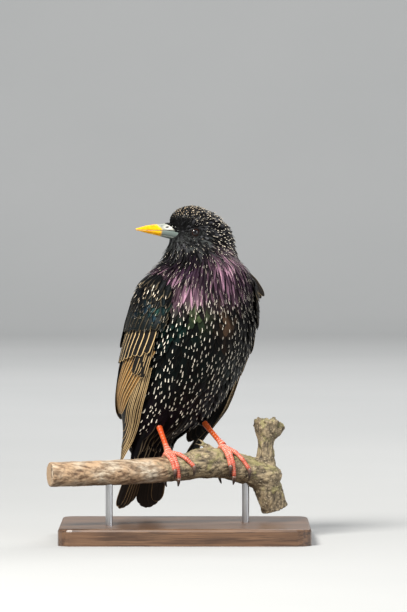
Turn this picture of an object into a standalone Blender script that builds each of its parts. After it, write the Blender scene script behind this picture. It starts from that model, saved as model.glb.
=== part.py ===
"""A starling gripping a cut length of branch, as a life-size museum model on a display stand.

Metres, +Z up. The origin is the middle of the base's underside. Sizes below are in millimetres
and are turned into metres where a mesh is made. Places on the bird are given as (forward, right,
height), forward and right being level and measured from a point between its feet.
"""

import math
import random

import bmesh
import bpy
import numpy as np
from mathutils import Matrix, Vector

MM = 0.001
GAP = 0.3
SIDES = ("left", "right")

# The bird's stance
FEET_MID = np.array([7.3, -8.0])
HEADING_DEG = 30.0
HEAD_TURN_DEG = 20.0
FORWARD = np.array([math.sin(math.radians(HEADING_DEG)), -math.cos(math.radians(HEADING_DEG))])
RIGHT = np.array([-math.cos(math.radians(HEADING_DEG)), -math.sin(math.radians(HEADING_DEG))])
BILL_WAY = np.array([-math.cos(math.radians(HEAD_TURN_DEG)), -math.sin(math.radians(HEAD_TURN_DEG))])
HEAD_SIDE = np.array([BILL_WAY[1], -BILL_WAY[0]])
FORWARD_ANGLE = math.atan2(FORWARD[1], FORWARD[0])
BILL_ANGLE = math.atan2(BILL_WAY[1], BILL_WAY[0])

# Level sections of the body without its wings:
# height, middle forward, middle to the right, half width, reach in front, reach behind, squareness
BODY_ROWS = (
    (170.0, 5.2, 0.0, 19.0, 19.0, 19.5, 2.0),
    (158.0, 5.0, 0.0, 20.5, 21.0, 21.0, 2.0),
    (150.0, 3.0, 0.0, 27.5, 25.5, 24.5, 2.0),
    (143.0, 0.6, 0.0, 31.3, 28.5, 27.0, 2.0),
    (132.0, -2.5, 0.0, 32.8, 31.5, 29.5, 2.0),
    (120.0, -5.0, 0.0, 33.3, 33.0, 30.5, 2.0),
    (108.0, -9.0, 0.0, 32.6, 32.0, 29.5, 2.0),
    (96.0, -15.0, 0.0, 31.0, 29.0, 26.5, 2.0),
    (84.0, -21.5, 0.6, 28.0, 24.5, 21.5, 2.0),
    (74.0, -27.0, 1.6, 24.5, 20.0, 18.0, 2.0),
    (64.0, -32.5, 4.2, 20.0, 16.0, 13.5, 2.0),
    (54.0, -41.0, 7.6, 14.0, 9.0, 6.5, 2.0),
)
# The same for the outside of the folded wings, which reach on past the body
WING_ROWS = (
    (152.0, 3.0, 0.0, 28.0, 25.0, 24.5, 2.0),
    (143.0, 0.6, 0.0, 34.5, 29.0, 29.5, 2.0),
    (132.0, -2.5, 0.0, 37.0, 32.0, 33.0, 2.0),
    (120.0, -5.0, 0.0, 38.5, 33.5, 34.5, 2.0),
    (108.0, -9.0, 0.0, 38.3, 32.5, 34.0, 2.0),
    (96.0, -15.0, 0.0, 37.3, 29.5, 31.0, 2.0),
    (84.0, -21.5, 0.0, 35.6, 25.0, 26.5, 2.0),
    (74.0, -27.5, 0.0, 32.6, 20.5, 23.0, 2.0),
    (64.0, -33.5, 0.0, 27.8, 17.0, 17.5, 2.0),
    (54.0, -40.0, 0.0, 24.2, 14.0, 13.5, 2.0),
    (44.0, -45.0, 0.0, 22.4, 12.0, 10.0, 2.0),
    (34.0, -49.5, 0.0, 21.2, 10.0, 7.5, 2.0),
    (26.0, -52.5, 0.0, 20.4, 8.0, 5.5, 2.0),
)
# The same for the head, with its front towards the bill
HEAD_ROWS = (
    (187.4, 5.0, 0.0, 0.4, 0.4, 0.4, 2.0),
    (186.6, 4.9, 0.0, 4.6, 5.2, 5.0, 2.0),
    (184.8, 4.6, 0.0, 7.2, 9.6, 8.2, 2.0),
    (181.6, 3.6, 0.0, 9.4, 13.6, 12.0, 1.85),
    (177.6, 2.2, 0.0, 10.9, 16.2, 15.8, 1.7),
    (173.4, 1.2, 0.0, 11.5, 17.2, 18.0, 1.55),
    (169.4, 0.6, 0.0, 12.2, 18.0, 19.2, 1.6),
    (165.4, 0.4, 0.0, 13.4, 18.8, 20.0, 1.75),
    (161.0, 0.0, 0.0, 16.0, 19.8, 20.4, 1.95),
    (150.0, 0.0, 0.0, 24.0, 24.0, 24.0, 2.0),
)
HEAD_MID = np.array([8.6, -12.0])
NECK_TOP = 160.0
NECK_FOOT = 149.0
BLEND_LOW = 150.0
BLEND_HIGH = 163.0
TORSO_FOOT = 54.0
HEAD_POINTS = 28
BODY_POINTS = 24

# Shell of a folded wing: height, angle round the body of its front edge and of its back edge
WING_EDGES = (
    (147.5, 76.0, 112.0),
    (144.0, 61.0, 134.0),
    (138.0, 54.0, 146.0),
    (120.0, 52.0, 160.0),
    (100.0, 54.0, 168.0),
    (88.0, 58.0, 170.0),
    (78.0, 66.0, 164.0),
)
WING_GAP = 0.9
WING_THIN = 1.1
# How much further out than WING_ROWS each wing stands, by height
WING_SPREAD = {
    "right": ((125.0, 0.0), (85.0, 1.8), (60.0, 1.2), (45.0, 2.2), (28.0, 3.2)),
    "left": ((130.0, -0.6), (118.0, -1.6), (96.0, -1.6), (85.0, -0.6), (66.0, 3.0), (54.0, 1.6)),
}
# Rows of wing feathers, from the one hidden most to the one that lies over the rest:
# count, height and angle of the first root, the same of the last root, of the first tip and of the
# last tip, half width, how far under the wing's outside the first and the last lie, bluntness of tips
WING_FEATHERS = {
    "primaries": (6, (92.0, 62.0), (92.0, 90.0), (30.5, 97.0), (60.0, 110.0), 3.4, 4.9, 1.5, 0.25),
    "secondaries": (4, (108.0, 66.0), (108.0, 106.0), (73.0, 88.0), (71.0, 118.0), 5.4, 1.0, 0.6, 0.6),
    "tertials": (3, (112.0, 116.0), (112.0, 150.0), (68.0, 112.0), (78.0, 152.0), 6.0, 0.3, 0.0, 0.55),
    "greater coverts": (5, (121.0, 62.0), (121.0, 138.0), (101.0, 66.0), (98.0, 142.0), 7.0, 0.2, 0.2, 0.7),
    "mid coverts": (5, (134.0, 64.0), (134.0, 136.0), (116.0, 62.0), (114.0, 138.0), 6.6, -0.5, -0.5, 0.7),
    "scapulars": (3, (140.0, 124.0), (140.0, 140.0), (114.0, 128.0), (122.0, 150.0), 5.6, -1.2, -1.2, 0.6),
}
COVERT_BLUNT = 0.5
FEATHER_THICK = 0.55
TIP_THICK = 0.35
FEATHER_SUNK = 1.4
FEATHER_TILT_DEG = 7.0
FEATHER_CLEAR = 1.3
VANE_ARCH = 0.12
LOCK_COLUMNS = (-1.0, 1.0)
VANE_COLUMNS = (-1.0, 0.0, 1.0)

# Tail: each half is a row of feathers from the middle one to the outermost, with its tips' heights
TAIL_TOP = 53.6
TAIL_FOOT = 15.0
TAIL_ROOT_FORWARD = -41.5
TAIL_TIP_FORWARD = -57.0
TAIL_BLOCK_FOOT = 45.0
TAIL_BLOCK_HALF = (-4.5, 18.5)
TAIL_HALVES = {
    "right": {"roots": (8.0, 14.5), "tips": (9.8, 23.2), "feet": (22.5, 18.6, 16.6, 15.6, 15.4, 16.8)},
    "left": {"roots": (5.5, -0.5), "tips": (4.4, -2.6), "feet": (17.5, 15.8, 15.2, 15.4, 16.6, 18.8)},
}
TAIL_HALF_WIDTH = 3.9
TAIL_PITCH = 0.72
TAIL_SKIP = {"right": 0.0, "left": 0.36}
TAIL_CAMBER = 0.014
TAIL_MID = 7.0
TAIL_DEPTH = 1.8
TAIL_BLOCK_THICK = 4.4

# Bill, measured from HEAD_MID: how far along, half width, heights of its top, mouth line and underside
BILL_ROWS = (
    (9.0, 6.4, 177.0, 170.4, 166.9),
    (13.0, 5.3, 177.3, 171.8, 167.6),
    (17.0, 4.3, 177.5, 173.0, 168.6),
    (21.0, 3.5, 177.2, 173.4, 169.6),
    (26.0, 2.7, 176.8, 173.4, 170.9),
    (31.0, 1.9, 176.2, 173.5, 172.0),
    (35.0, 1.2, 175.3, 173.8, 173.0),
    (38.1, 0.4, 174.6, 174.1, 173.6),
)
NOSTRIL = (20.2, 3.75, 175.2)
NOSTRIL_SIZE = (1.3, 0.9, 0.55)

# Eyes, measured the same way: along, out to the side where the ball shows most, height
EYE_RADIUS = 2.9
EYE_FACES = 16
EYE_ALONG = 6.3
EYE_OUT = 11.0
EYE_HEIGHT = 172.4
LID_RADIUS = 2.85
LID_THICK = 0.55
LID_OUT = 10.2
LID_STEPS = 14
LID_SIDES = 5
GAPE_CORNER = (9.6, 7.8, 170.6)
GAPE_START = (13.5, 6.6, 172.2)
GAPE_RADII = (0.35, 0.5)

# Hackles round the throat and nape: count, height of root and of tip, clearance at the tip, angles
HACKLE_ROWS = (
    (10, 153.0, 133.0, 0.9, -50.0, 50.0),
    (9, 155.5, 143.5, 1.9, -52.0, 52.0),
    (8, 158.8, 151.0, 1.6, -58.0, 58.0),
    (5, 156.5, 150.0, 1.0, 70.0, 146.0),
    (5, 156.5, 150.0, 1.0, -70.0, -146.0),
    (4, 154.5, 143.5, 0.9, 158.0, 202.0),
)
HACKLE_HALF_WIDTH = 1.9
HACKLE_THICK = 0.6
HACKLE_SUNK = 0.4
HACKLE_SEED = 7

# Feathers over and under the root of the tail: count, root height, tip height, lift, angles
TAIL_COVERT_ROWS = (
    (5, 62.0, 41.0, 1.5, -56.0, 56.0),
    (4, 66.0, 50.0, 2.4, -44.0, 44.0),
    (3, 60.0, 42.0, 1.3, 152.0, 208.0),
)
TAIL_COVERT_HALF_WIDTH = 4.2
TAIL_COVERT_SUNK = 0.9

# Branch
PERCH_YAW_DEG = 20.0
PERCH_WAY = np.array([math.cos(math.radians(PERCH_YAW_DEG)), math.sin(math.radians(PERCH_YAW_DEG))])
# Distance along the branch, measured across the front view, with the axis height and the radius
PERCH_ROWS = (
    (-74.5, 38.6, 6.9),
    (-47.6, 38.8, 7.0),
    (-15.7, 39.9, 7.1),
    (1.7, 41.6, 7.6),
    (9.0, 43.0, 8.6),
    (16.8, 43.2, 8.3),
    (25.0, 41.6, 7.9),
    (34.2, 39.0, 8.2),
    (44.8, 35.2, 8.8),
    (52.0, 33.2, 6.0),
)
PERCH_STEPS = 18
PERCH_SIDES = 12
STUB_FOOT = np.array([44.8, 34.0])
STUB_TOP = np.array([45.6, 67.8])
# Radii of the stub at even steps from its foot to its broken top
STUB_RADII = (8.2, 6.8, 5.1, 4.6, 4.9, 6.2, 6.7)
SPUR_TIP = np.array([53.6, 64.6])
BRANCH_END = np.array([50.6, 16.4])
BRANCH_RADIUS = 7.3

# Stand
BASE_LENGTH = 140.0
BASE_DEPTH = 112.0
BASE_HEIGHT = 9.5
BASE_EDGE = 1.6
ROD_RADIUS = 2.0
ROD_SINK = 5.5
ROD_AT = (-42.0, 34.0)


def clear_scene():
    for item in list(bpy.data.objects):
        bpy.data.objects.remove(item)


def make_material(name, colour, roughness, metallic=0.0):
    material = bpy.data.materials.new(name)
    material.use_nodes = True
    shader = material.node_tree.nodes["Principled BSDF"]
    shader.inputs["Base Color"].default_value = (*colour, 1.0)
    shader.inputs["Roughness"].default_value = roughness
    shader.inputs["Metallic"].default_value = metallic
    return material


def read_rows(rows, key):
    """The row at a height between two rows, on a smooth curve that makes no bump of its own."""
    order = sorted(rows)
    keys = np.array([row[0] for row in order])
    values = np.array([row[1:] for row in order])
    key = min(max(key, keys[0]), keys[-1])
    steps = np.diff(keys)
    slopes = np.diff(values, axis=0) / steps[:, None]
    index = min(int(np.searchsorted(keys, key, side="right")) - 1, len(steps) - 1)
    share = (key - keys[index]) / steps[index]

    def slope_at(place):
        if place == 0:
            return slopes[0]
        if place == len(steps):
            return slopes[-1]
        before, after = slopes[place - 1], slopes[place]
        both = before + after
        same = before * after > 0
        return np.where(same, 2 * before * after / np.where(same, both, 1.0), 0.0)

    start, end = values[index], values[index + 1]
    leave, arrive = slope_at(index) * steps[index], slope_at(index + 1) * steps[index]
    square, cube = share**2, share**3
    return (
        (2 * cube - 3 * square + 1) * start
        + (cube - 2 * square + share) * leave
        + (3 * square - 2 * cube) * end
        + (cube - square) * arrive
    )


def smooth_share(value, low, high):
    share = min(max((value - low) / (high - low), 0.0), 1.0)
    return share * share * (3 - 2 * share)


def level_point(forward, right):
    """World x and y of a place on the bird."""
    return FEET_MID + forward * FORWARD + right * RIGHT


def bird_point(forward, right, height):
    return np.append(level_point(forward, right), height)


def oval_reach(angle, half_width, front, back, squareness):
    """Distance from the middle of a section to its rim, at an angle from its front."""
    along, power = (front, squareness) if math.cos(angle) > 0 else (back, 2.0)
    ahead, aside = abs(math.cos(angle) / along), abs(math.sin(angle) / half_width)
    return (ahead**power + aside**power) ** (-1 / power)


def section(rows, height, angle, axis):
    """Shifts of a section's middle, and its rim distance at a world angle, with its front at axis."""
    forward, right, *shape = read_rows(rows, height)
    return forward, right, oval_reach(angle - axis, *shape)


def body_middle(rows, height):
    forward, right = read_rows(rows, height)[:2]
    return level_point(forward, right)


def body_point(height, angle, grow=0.0):
    """A point on the bird's body, neck or head at a world angle, moved outwards by grow."""
    share = smooth_share(height, BLEND_LOW, BLEND_HIGH)
    middle = np.zeros(2)
    reach = 0.0
    if share < 1:
        forward, right, rim = section(BODY_ROWS, height, angle, FORWARD_ANGLE)
        middle = middle + (1 - share) * level_point(forward, right)
        reach += (1 - share) * rim
    if share > 0:
        along, side, rim = section(HEAD_ROWS, height, angle, BILL_ANGLE)
        middle = middle + share * (HEAD_MID + along * BILL_WAY + side * HEAD_SIDE)
        reach += share * rim
    way = np.array([math.cos(angle), math.sin(angle)])
    return np.append(middle + (reach + grow) * way, height)


def body_ring(height, count):
    return [body_point(height, 2 * math.pi * step / count) for step in range(count)]


def side_angle(side, degrees_from_front):
    """World angle of a place round the body, from the breast towards the bird's right or left."""
    turn = math.radians(degrees_from_front)
    return FORWARD_ANGLE - turn if side == "right" else FORWARD_ANGLE + turn


def wing_point(side, height, degrees_from_front, grow=0.0):
    """A point on the outside of a folded wing, moved outwards by grow."""
    angle = side_angle(side, degrees_from_front)
    forward, right, reach = section(WING_ROWS, height, angle, FORWARD_ANGLE)
    spread = read_rows(WING_SPREAD[side], height)[0] * abs(math.sin(angle - FORWARD_ANGLE))
    way = np.array([math.cos(angle), math.sin(angle)])
    return np.append(level_point(forward, right) + (reach + spread + grow) * way, height)


def loft(rings, close_ends=True):
    """A bmesh through closed rings of points, with a fan at each end."""
    mesh = bmesh.new()
    rows = [[mesh.verts.new(Vector(point) * MM) for point in ring] for ring in rings]
    count = len(rows[0])
    for upper, lower in zip(rows, rows[1:]):
        for step in range(count):
            after = (step + 1) % count
            mesh.faces.new((upper[step], upper[after], lower[after], lower[step]))
    if close_ends:
        for row, ring in ((rows[0], rings[0]), (rows[-1], rings[-1])):
            middle = mesh.verts.new(Vector(np.mean(ring, axis=0)) * MM)
            for step in range(count):
                mesh.faces.new((row[step], row[(step + 1) % count], middle))
    bmesh.ops.triangulate(mesh, faces=mesh.faces[:])
    bmesh.ops.recalc_face_normals(mesh, faces=mesh.faces[:])
    return mesh


def plate(outer, inner):
    """A thin closed piece between two grids of points, cut into triangles alike on both faces."""
    mesh = bmesh.new()
    top = [[mesh.verts.new(Vector(point) * MM) for point in row] for row in outer]
    bottom = [[mesh.verts.new(Vector(point) * MM) for point in row] for row in inner]
    rows, columns = len(top), len(top[0])
    for row in range(rows - 1):
        for column in range(columns - 1):
            for grid, flip in ((top, False), (bottom, True)):
                first, second = grid[row][column], grid[row][column + 1]
                third, fourth = grid[row + 1][column + 1], grid[row + 1][column]
                for face in ((first, second, third), (first, third, fourth)):
                    mesh.faces.new(face[::-1] if flip else face)
    rim = [(0, column) for column in range(columns)]
    rim += [(row, columns - 1) for row in range(1, rows)]
    rim += [(rows - 1, column) for column in range(columns - 2, -1, -1)]
    rim += [(row, 0) for row in range(rows - 2, 0, -1)]
    for step, (row, column) in enumerate(rim):
        next_row, next_column = rim[(step + 1) % len(rim)]
        first, second = top[row][column], top[next_row][next_column]
        third, fourth = bottom[next_row][next_column], bottom[row][column]
        mesh.faces.new((first, third, second))
        mesh.faces.new((first, fourth, third))
    bmesh.ops.recalc_face_normals(mesh, faces=mesh.faces[:])
    return mesh


def vane(path, outwards, half_widths, thicknesses, columns=VANE_COLUMNS, tilt_degrees=0.0):
    """A thin tapering feather or lock along a path, facing outwards at each point and arched across."""
    outer, inner = [], []
    for index, point in enumerate(path):
        along = Vector(path[min(index + 1, len(path) - 1)] - path[max(index - 1, 0)])
        out = Matrix.Rotation(math.radians(tilt_degrees), 3, along) @ Vector(outwards[index])
        across = np.array(along.cross(out).normalized())
        out = np.array(out.normalized())
        outer_row, inner_row = [], []
        for share in columns:
            middle = point + share * half_widths[index] * across
            arch = VANE_ARCH * half_widths[index] * (1 - abs(share))
            outer_row.append(middle + (arch + thicknesses[index] / 2) * out)
            inner_row.append(middle + (arch - thicknesses[index] / 2) * out)
        outer.append(outer_row)
        inner.append(inner_row)
    return plate(outer, inner)


def tube(points, radii, sides=10):
    """A round bar through points, with its own radius at each, closed by fans."""
    rings = []
    points = [np.asarray(point, float) for point in points]
    for index, point in enumerate(points):
        before = points[max(index - 1, 0)]
        after = points[min(index + 1, len(points) - 1)]
        way = Vector(after - before).normalized()
        across = way.orthogonal() if index == 0 else across - across.dot(way) * way
        across = across.normalized()
        other = way.cross(across)
        ring = []
        for step in range(sides):
            turn = 2 * math.pi * step / sides
            ring.append(point + radii[index] * np.array(across * math.cos(turn) + other * math.sin(turn)))
        rings.append(ring)
    return loft(rings)


def make_object(name, mesh, material, collection):
    data = bpy.data.meshes.new(name)
    mesh.to_mesh(data)
    mesh.free()
    data.shade_smooth()
    data.set_sharp_from_angle(angle=math.radians(40))
    item = bpy.data.objects.new(name, data)
    if material is not None:
        data.materials.append(material)
    collection.objects.link(item)
    return item


def apply_modifiers(item):
    graph = bpy.context.evaluated_depsgraph_get()
    graph.update()
    data = bpy.data.meshes.new_from_object(item.evaluated_get(graph))
    item.modifiers.clear()
    old = item.data
    item.data = data
    bpy.data.meshes.remove(old)


def keep_largest(item):
    """Leaves only the closed surface with the most volume, and drops scraps and sealed hollows."""
    mesh = bmesh.new()
    mesh.from_mesh(item.data)
    unseen = set(mesh.faces)
    groups = []
    while unseen:
        start = unseen.pop()
        group, queue = {start}, [start]
        while queue:
            for edge in queue.pop().edges:
                for face in edge.link_faces:
                    if face in unseen:
                        unseen.discard(face)
                        group.add(face)
                        queue.append(face)
        groups.append(group)

    def volume(group):
        total = 0.0
        for face in group:
            corners = [vertex.co for vertex in face.verts]
            for second, third in zip(corners[1:], corners[2:]):
                total += corners[0].dot(second.cross(third)) / 6
        return total

    kept = max(groups, key=volume)
    bmesh.ops.delete(mesh, geom=[face for face in mesh.faces if face not in kept], context="FACES")
    mesh.to_mesh(item.data)
    mesh.free()


def combine(item, pieces, operation="UNION", solver="EXACT"):
    """One Boolean of an object with a list of meshes, applied, with the pieces then removed."""
    group = bpy.data.collections.new(item.name + "_pieces")
    bpy.context.scene.collection.children.link(group)
    group.hide_render = True
    for index, mesh in enumerate(pieces):
        make_object(f"{item.name}_piece_{index}", mesh, None, group)
    change = item.modifiers.new("Combine", "BOOLEAN")
    change.operation = operation
    change.operand_type = "COLLECTION"
    change.collection = group
    change.solver = solver
    apply_modifiers(item)
    for piece in list(group.objects):
        bpy.data.objects.remove(piece)
    bpy.data.collections.remove(group)
    keep_largest(item)


def stack_heights(rows, low, high, most_step):
    """Heights between two levels, close where the table's rows are close."""
    marks = sorted({low, high, *(row[0] for row in rows if low < row[0] < high)})
    heights = []
    for start, end in zip(marks, marks[1:]):
        parts = max(1, math.ceil((end - start) / most_step))
        heights += [start + (end - start) * step / parts for step in range(parts)]
    return heights + [marks[-1]]


def make_head(collection, material):
    """The head with its lids, sockets, the pocket of the bill and the mouth line behind it."""
    heights = stack_heights(HEAD_ROWS, NECK_TOP + GAP / 2, HEAD_ROWS[0][0], 4.5)
    rings = [body_ring(height, HEAD_POINTS) for height in heights]
    head = make_object("head", loft(rings), material, collection)
    combine(head, [lid_mesh(side) for side in SIDES], solver="MANIFOLD")
    cutters = [bill_mesh(upper=True, grow=GAP), bill_mesh(upper=False, grow=GAP)]
    cutters += [eye_mesh(side, GAP) for side in SIDES]
    cutters += [gape_mesh(side) for side in SIDES]
    combine(head, cutters, "DIFFERENCE", "MANIFOLD")
    return head


def make_neck(collection, material):
    """The neck with its hackles, which hang over the top of the breast and of the back."""
    heights = stack_heights(BODY_ROWS, NECK_FOOT + GAP / 2, NECK_TOP - GAP / 2, 3.6)
    rings = [body_ring(height, BODY_POINTS) for height in heights]
    neck = make_object("neck", loft(rings), material, collection)
    draw = random.Random(HACKLE_SEED)
    hackles = []
    for count, root, tip, lift, first, last in HACKLE_ROWS:
        for index in range(count):
            degrees = first + (last - first) * (index + draw.uniform(-0.2, 0.2)) / (count - 1)
            hackles.append(hackle_mesh(degrees, root, tip + draw.uniform(-1.0, 1.0), lift))
    combine(neck, hackles, solver="MANIFOLD")
    return neck


def body_vane(degrees, rows):
    """A lock that hangs down the body: rows are its heights with how far its middle stands off the body."""
    angle = FORWARD_ANGLE - math.radians(degrees)
    path, outwards = [], []
    for height, lift in rows:
        path.append(body_point(height, angle, lift))
        below = body_point(height - 1.0, angle, lift) - path[-1]
        level = np.array([-math.sin(angle), math.cos(angle), 0.0])
        outwards.append(np.cross(level, below))
    shape = np.interp(np.linspace(0, 1, len(rows)), (0.0, 0.3, 0.7, 0.9, 1.0), (0.6, 1.0, 0.9, 0.6, 0.16))
    thicknesses = HACKLE_THICK * np.interp(shape, (0.16, 0.6), (0.6, 1.0))
    return vane(path, outwards, HACKLE_HALF_WIDTH * shape, thicknesses, LOCK_COLUMNS, FEATHER_TILT_DEG)


def hackle_mesh(degrees, root, tip, lift):
    """One hackle: sunk in the neck at its root, and clear of the torso from the neck's foot on."""
    edge = NECK_FOOT - GAP / 2
    if tip > edge + 1.0:
        return body_vane(degrees, [(root, -HACKLE_SUNK), ((root + tip) / 2, 0.5 * lift), (tip, lift)])
    clear = lift + HACKLE_THICK / 2
    rows = [(root, -HACKLE_SUNK), (edge + 0.1, clear), ((edge + tip) / 2, clear + 0.1), (tip, clear + 0.3)]
    return body_vane(degrees, rows)


def make_torso(collection, material):
    """The torso with the feathers that cover the tail's root in front and behind."""
    heights = stack_heights(BODY_ROWS, TORSO_FOOT, NECK_FOOT - GAP / 2, 12.0)
    rings = [body_ring(height, BODY_POINTS) for height in heights]
    torso = make_object("torso", loft(rings), material, collection)
    coverts = []
    for count, root, tip, lift, first, last in TAIL_COVERT_ROWS:
        for index in range(count):
            degrees = first + (last - first) * index / (count - 1)
            coverts.append(tail_covert_mesh(degrees, root, tip, lift))
    combine(torso, coverts, solver="MANIFOLD")
    combine(torso, [thigh_mesh(side, GAP) for side in SIDES], "DIFFERENCE")
    return torso


def tail_covert_mesh(degrees, root, tip, lift):
    """One feather from the foot of the torso down over the tail's root."""
    angle = FORWARD_ANGLE - math.radians(degrees)
    slope = bird_point(TAIL_TIP_FORWARD, 0, TAIL_FOOT) - bird_point(TAIL_ROOT_FORWARD, 0, TAIL_TOP)
    slope = slope / np.linalg.norm(slope)
    start = body_point(root, angle, -TAIL_COVERT_SUNK)
    knee = body_point(TORSO_FOOT + 0.6, angle, lift)
    end = knee + slope * (TORSO_FOOT - tip)
    path = [start, knee, (knee + end) / 2, end]
    out = np.array([math.cos(angle), math.sin(angle), 0.0])
    half_widths = TAIL_COVERT_HALF_WIDTH * np.array([0.8, 1.0, 0.85, 0.25])
    thicknesses = [FEATHER_THICK] * 3 + [TIP_THICK]
    return vane(path, [out] * len(path), half_widths, thicknesses, LOCK_COLUMNS, FEATHER_TILT_DEG)


def wing_shell(side):
    """The wing's core: its inside lies on the torso, and its outside is the folded wing's."""
    heights = stack_heights(WING_EDGES, WING_EDGES[-1][0], WING_EDGES[0][0], 10.0)
    columns = 8
    outer, inner = [], []
    for height in heights:
        front, back = read_rows(WING_EDGES, height)
        outer_row, inner_row = [], []
        for column in range(columns):
            degrees = front + (back - front) * column / (columns - 1)
            skin = wing_point(side, height, degrees, -0.6)
            under = body_point(height, side_angle(side, degrees), WING_GAP)
            middle = body_middle(BODY_ROWS, height)
            if np.hypot(*(skin[:2] - middle)) < np.hypot(*(under[:2] - middle)) + WING_THIN:
                skin = body_point(height, side_angle(side, degrees), WING_GAP + WING_THIN)
            outer_row.append(skin)
            inner_row.append(under)
        outer.append(outer_row)
        inner.append(inner_row)
    return plate(outer, inner)


def wing_feather(side, root, tip, half_width, depth, blunt):
    """One wing feather from a root inside the wing to its free tip, given as (height, angle)."""
    shares = (0.0, 0.45, 0.88, 1.0)
    widths = (0.85, 1.0, 0.65 + 0.3 * blunt, 0.12 + 0.3 * blunt)
    path, outwards = [], []
    for share in shares:
        height = root[0] + (tip[0] - root[0]) * share
        degrees = root[1] + (tip[1] - root[1]) * share
        under = -depth - FEATHER_SUNK * (1 - share) ** 2
        point = wing_point(side, height, degrees, under)
        least = body_point(height, side_angle(side, degrees), WING_GAP + FEATHER_CLEAR)
        middle = body_middle(BODY_ROWS, height)
        inside = np.hypot(*(point[:2] - middle)) < np.hypot(*(least[:2] - middle))
        path.append(least if inside and height > TORSO_FOOT else point)
        level = wing_point(side, height, degrees + 1.0) - wing_point(side, height, degrees - 1.0)
        drop = wing_point(side, height - 1.0, degrees) - wing_point(side, height, degrees)
        out = np.cross(level, drop)
        angle = side_angle(side, degrees)
        outwards.append(out if out @ np.array([math.cos(angle), math.sin(angle), 0.0]) > 0 else -out)
    thick = [FEATHER_THICK] * (len(shares) - 1) + [TIP_THICK]
    columns = VANE_COLUMNS if blunt < COVERT_BLUNT else LOCK_COLUMNS
    tilt = FEATHER_TILT_DEG if side == "right" else -FEATHER_TILT_DEG
    return vane(path, outwards, [half_width * width for width in widths], thick, columns, tilt)


def blend_pair(first, last, share):
    return tuple(a + (b - a) * share for a, b in zip(first, last))


def make_wing(side, collection, material):
    """A folded wing: its shell and the rows of feathers that lie over one another down to the tip."""
    wing = make_object(f"wing_{side}", wing_shell(side), material, collection)
    feathers = []
    for row in WING_FEATHERS.values():
        count, first_root, last_root, first_tip, last_tip, half_width, deep, shallow, blunt = row
        for index in range(count):
            share = index / (count - 1)
            root = blend_pair(first_root, last_root, share)
            tip = blend_pair(first_tip, last_tip, share)
            depth = deep + (shallow - deep) * share
            feathers.append(wing_feather(side, root, tip, half_width, depth, blunt))
    combine(wing, feathers, solver="MANIFOLD")
    return wing


def tail_forward(height):
    share = (TAIL_TOP - height) / (TAIL_TOP - TAIL_FOOT)
    return TAIL_ROOT_FORWARD + (TAIL_TIP_FORWARD - TAIL_ROOT_FORWARD) * share


def make_tail(collection, material):
    """The tail: a root block that carries twelve feathers in two halves, the middle ones on top."""
    heights = (TAIL_TOP, (TAIL_TOP + TAIL_BLOCK_FOOT) / 2, TAIL_BLOCK_FOOT)
    low, high = TAIL_BLOCK_HALF
    places = [low + (high - low) * column / 6 for column in range(7)]
    outer, inner = [], []
    for index, height in enumerate(heights):
        thick = TAIL_BLOCK_THICK - 0.5 * index
        middles = [tail_forward(height) + TAIL_CAMBER * (place - TAIL_MID) ** 2 for place in places]
        outer.append([bird_point(m - thick / 2, place, height) for m, place in zip(middles, places)])
        inner.append([bird_point(m + thick / 2, place, height) for m, place in zip(middles, places)])
    tail = make_object("tail", plate(outer, inner), material, collection)
    feathers = []
    for half, sizes in TAIL_HALVES.items():
        for index, foot in enumerate(sizes["feet"]):
            share = index / (len(sizes["feet"]) - 1)
            depth = TAIL_DEPTH - TAIL_PITCH * index - TAIL_SKIP[half]
            root = sizes["roots"][0] + (sizes["roots"][1] - sizes["roots"][0]) * share
            tip = sizes["tips"][0] + (sizes["tips"][1] - sizes["tips"][0]) * share
            feathers.append(tail_feather(root, tip, foot, depth))
    combine(tail, feathers, solver="MANIFOLD")
    return tail


def tail_feather(root, tip, foot, depth):
    start = TAIL_TOP - 1.0
    path, outwards = [], []
    for share in (0.0, 0.45, 0.86, 1.0):
        height = start + (foot - start) * share
        place = root + (tip - root) * share
        forward = tail_forward(height) + TAIL_CAMBER * (place - TAIL_MID) ** 2 - depth
        path.append(bird_point(forward, place, height))
        bend = 2 * TAIL_CAMBER * (place - TAIL_MID)
        outwards.append(bird_point(-1.0, bend, 0.4) - bird_point(0.0, 0.0, 0.0))
    widths = [TAIL_HALF_WIDTH * width for width in (0.8, 1.0, 0.9, 0.42)]
    return vane(path, outwards, widths, [FEATHER_THICK] * 3 + [TIP_THICK])


def bill_point(along, side, height):
    return np.append(HEAD_MID + along * BILL_WAY + side * HEAD_SIDE, height)


def bill_mesh(upper, grow=0.0):
    """One half of the bill: half ovals from its root in the head to its tip."""
    rings = []
    for index, row in enumerate(BILL_ROWS):
        along, half_width, top, split, bottom = row
        sign = 1 if upper else -1
        far = (top if upper else bottom) + sign * grow
        floor = split + sign * (GAP / 2 - grow)
        if index == 0:
            along -= grow
        if index == len(BILL_ROWS) - 1:
            along += grow
        ring = []
        for step in range(9):
            turn = math.pi * step / 8
            side = (half_width + grow) * math.cos(turn)
            ring.append(bill_point(along, side, floor + (far - floor) * math.sin(turn) ** 0.85))
        rings.append(ring)
    return loft(rings)


def make_bill(collection, material):
    upper = make_object("bill_upper", bill_mesh(upper=True), material, collection)
    nostrils = []
    for side in SIDES:
        sign = side_sign(side)
        nostril = ball(np.zeros(3), 1.0, 10, 6)
        long, deep, tall = NOSTRIL_SIZE
        bmesh.ops.scale(nostril, verts=nostril.verts[:], vec=(long, deep, tall))
        turn = Matrix.Rotation(BILL_ANGLE + sign * math.radians(9), 3, "Z")
        bmesh.ops.rotate(nostril, verts=nostril.verts[:], cent=(0, 0, 0), matrix=turn)
        place = bill_point(NOSTRIL[0], sign * NOSTRIL[1], NOSTRIL[2])
        bmesh.ops.translate(nostril, verts=nostril.verts[:], vec=Vector(place) * MM)
        nostrils.append(nostril)
    combine(upper, nostrils, "DIFFERENCE")
    make_object("bill_lower", bill_mesh(upper=False), material, collection)


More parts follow.
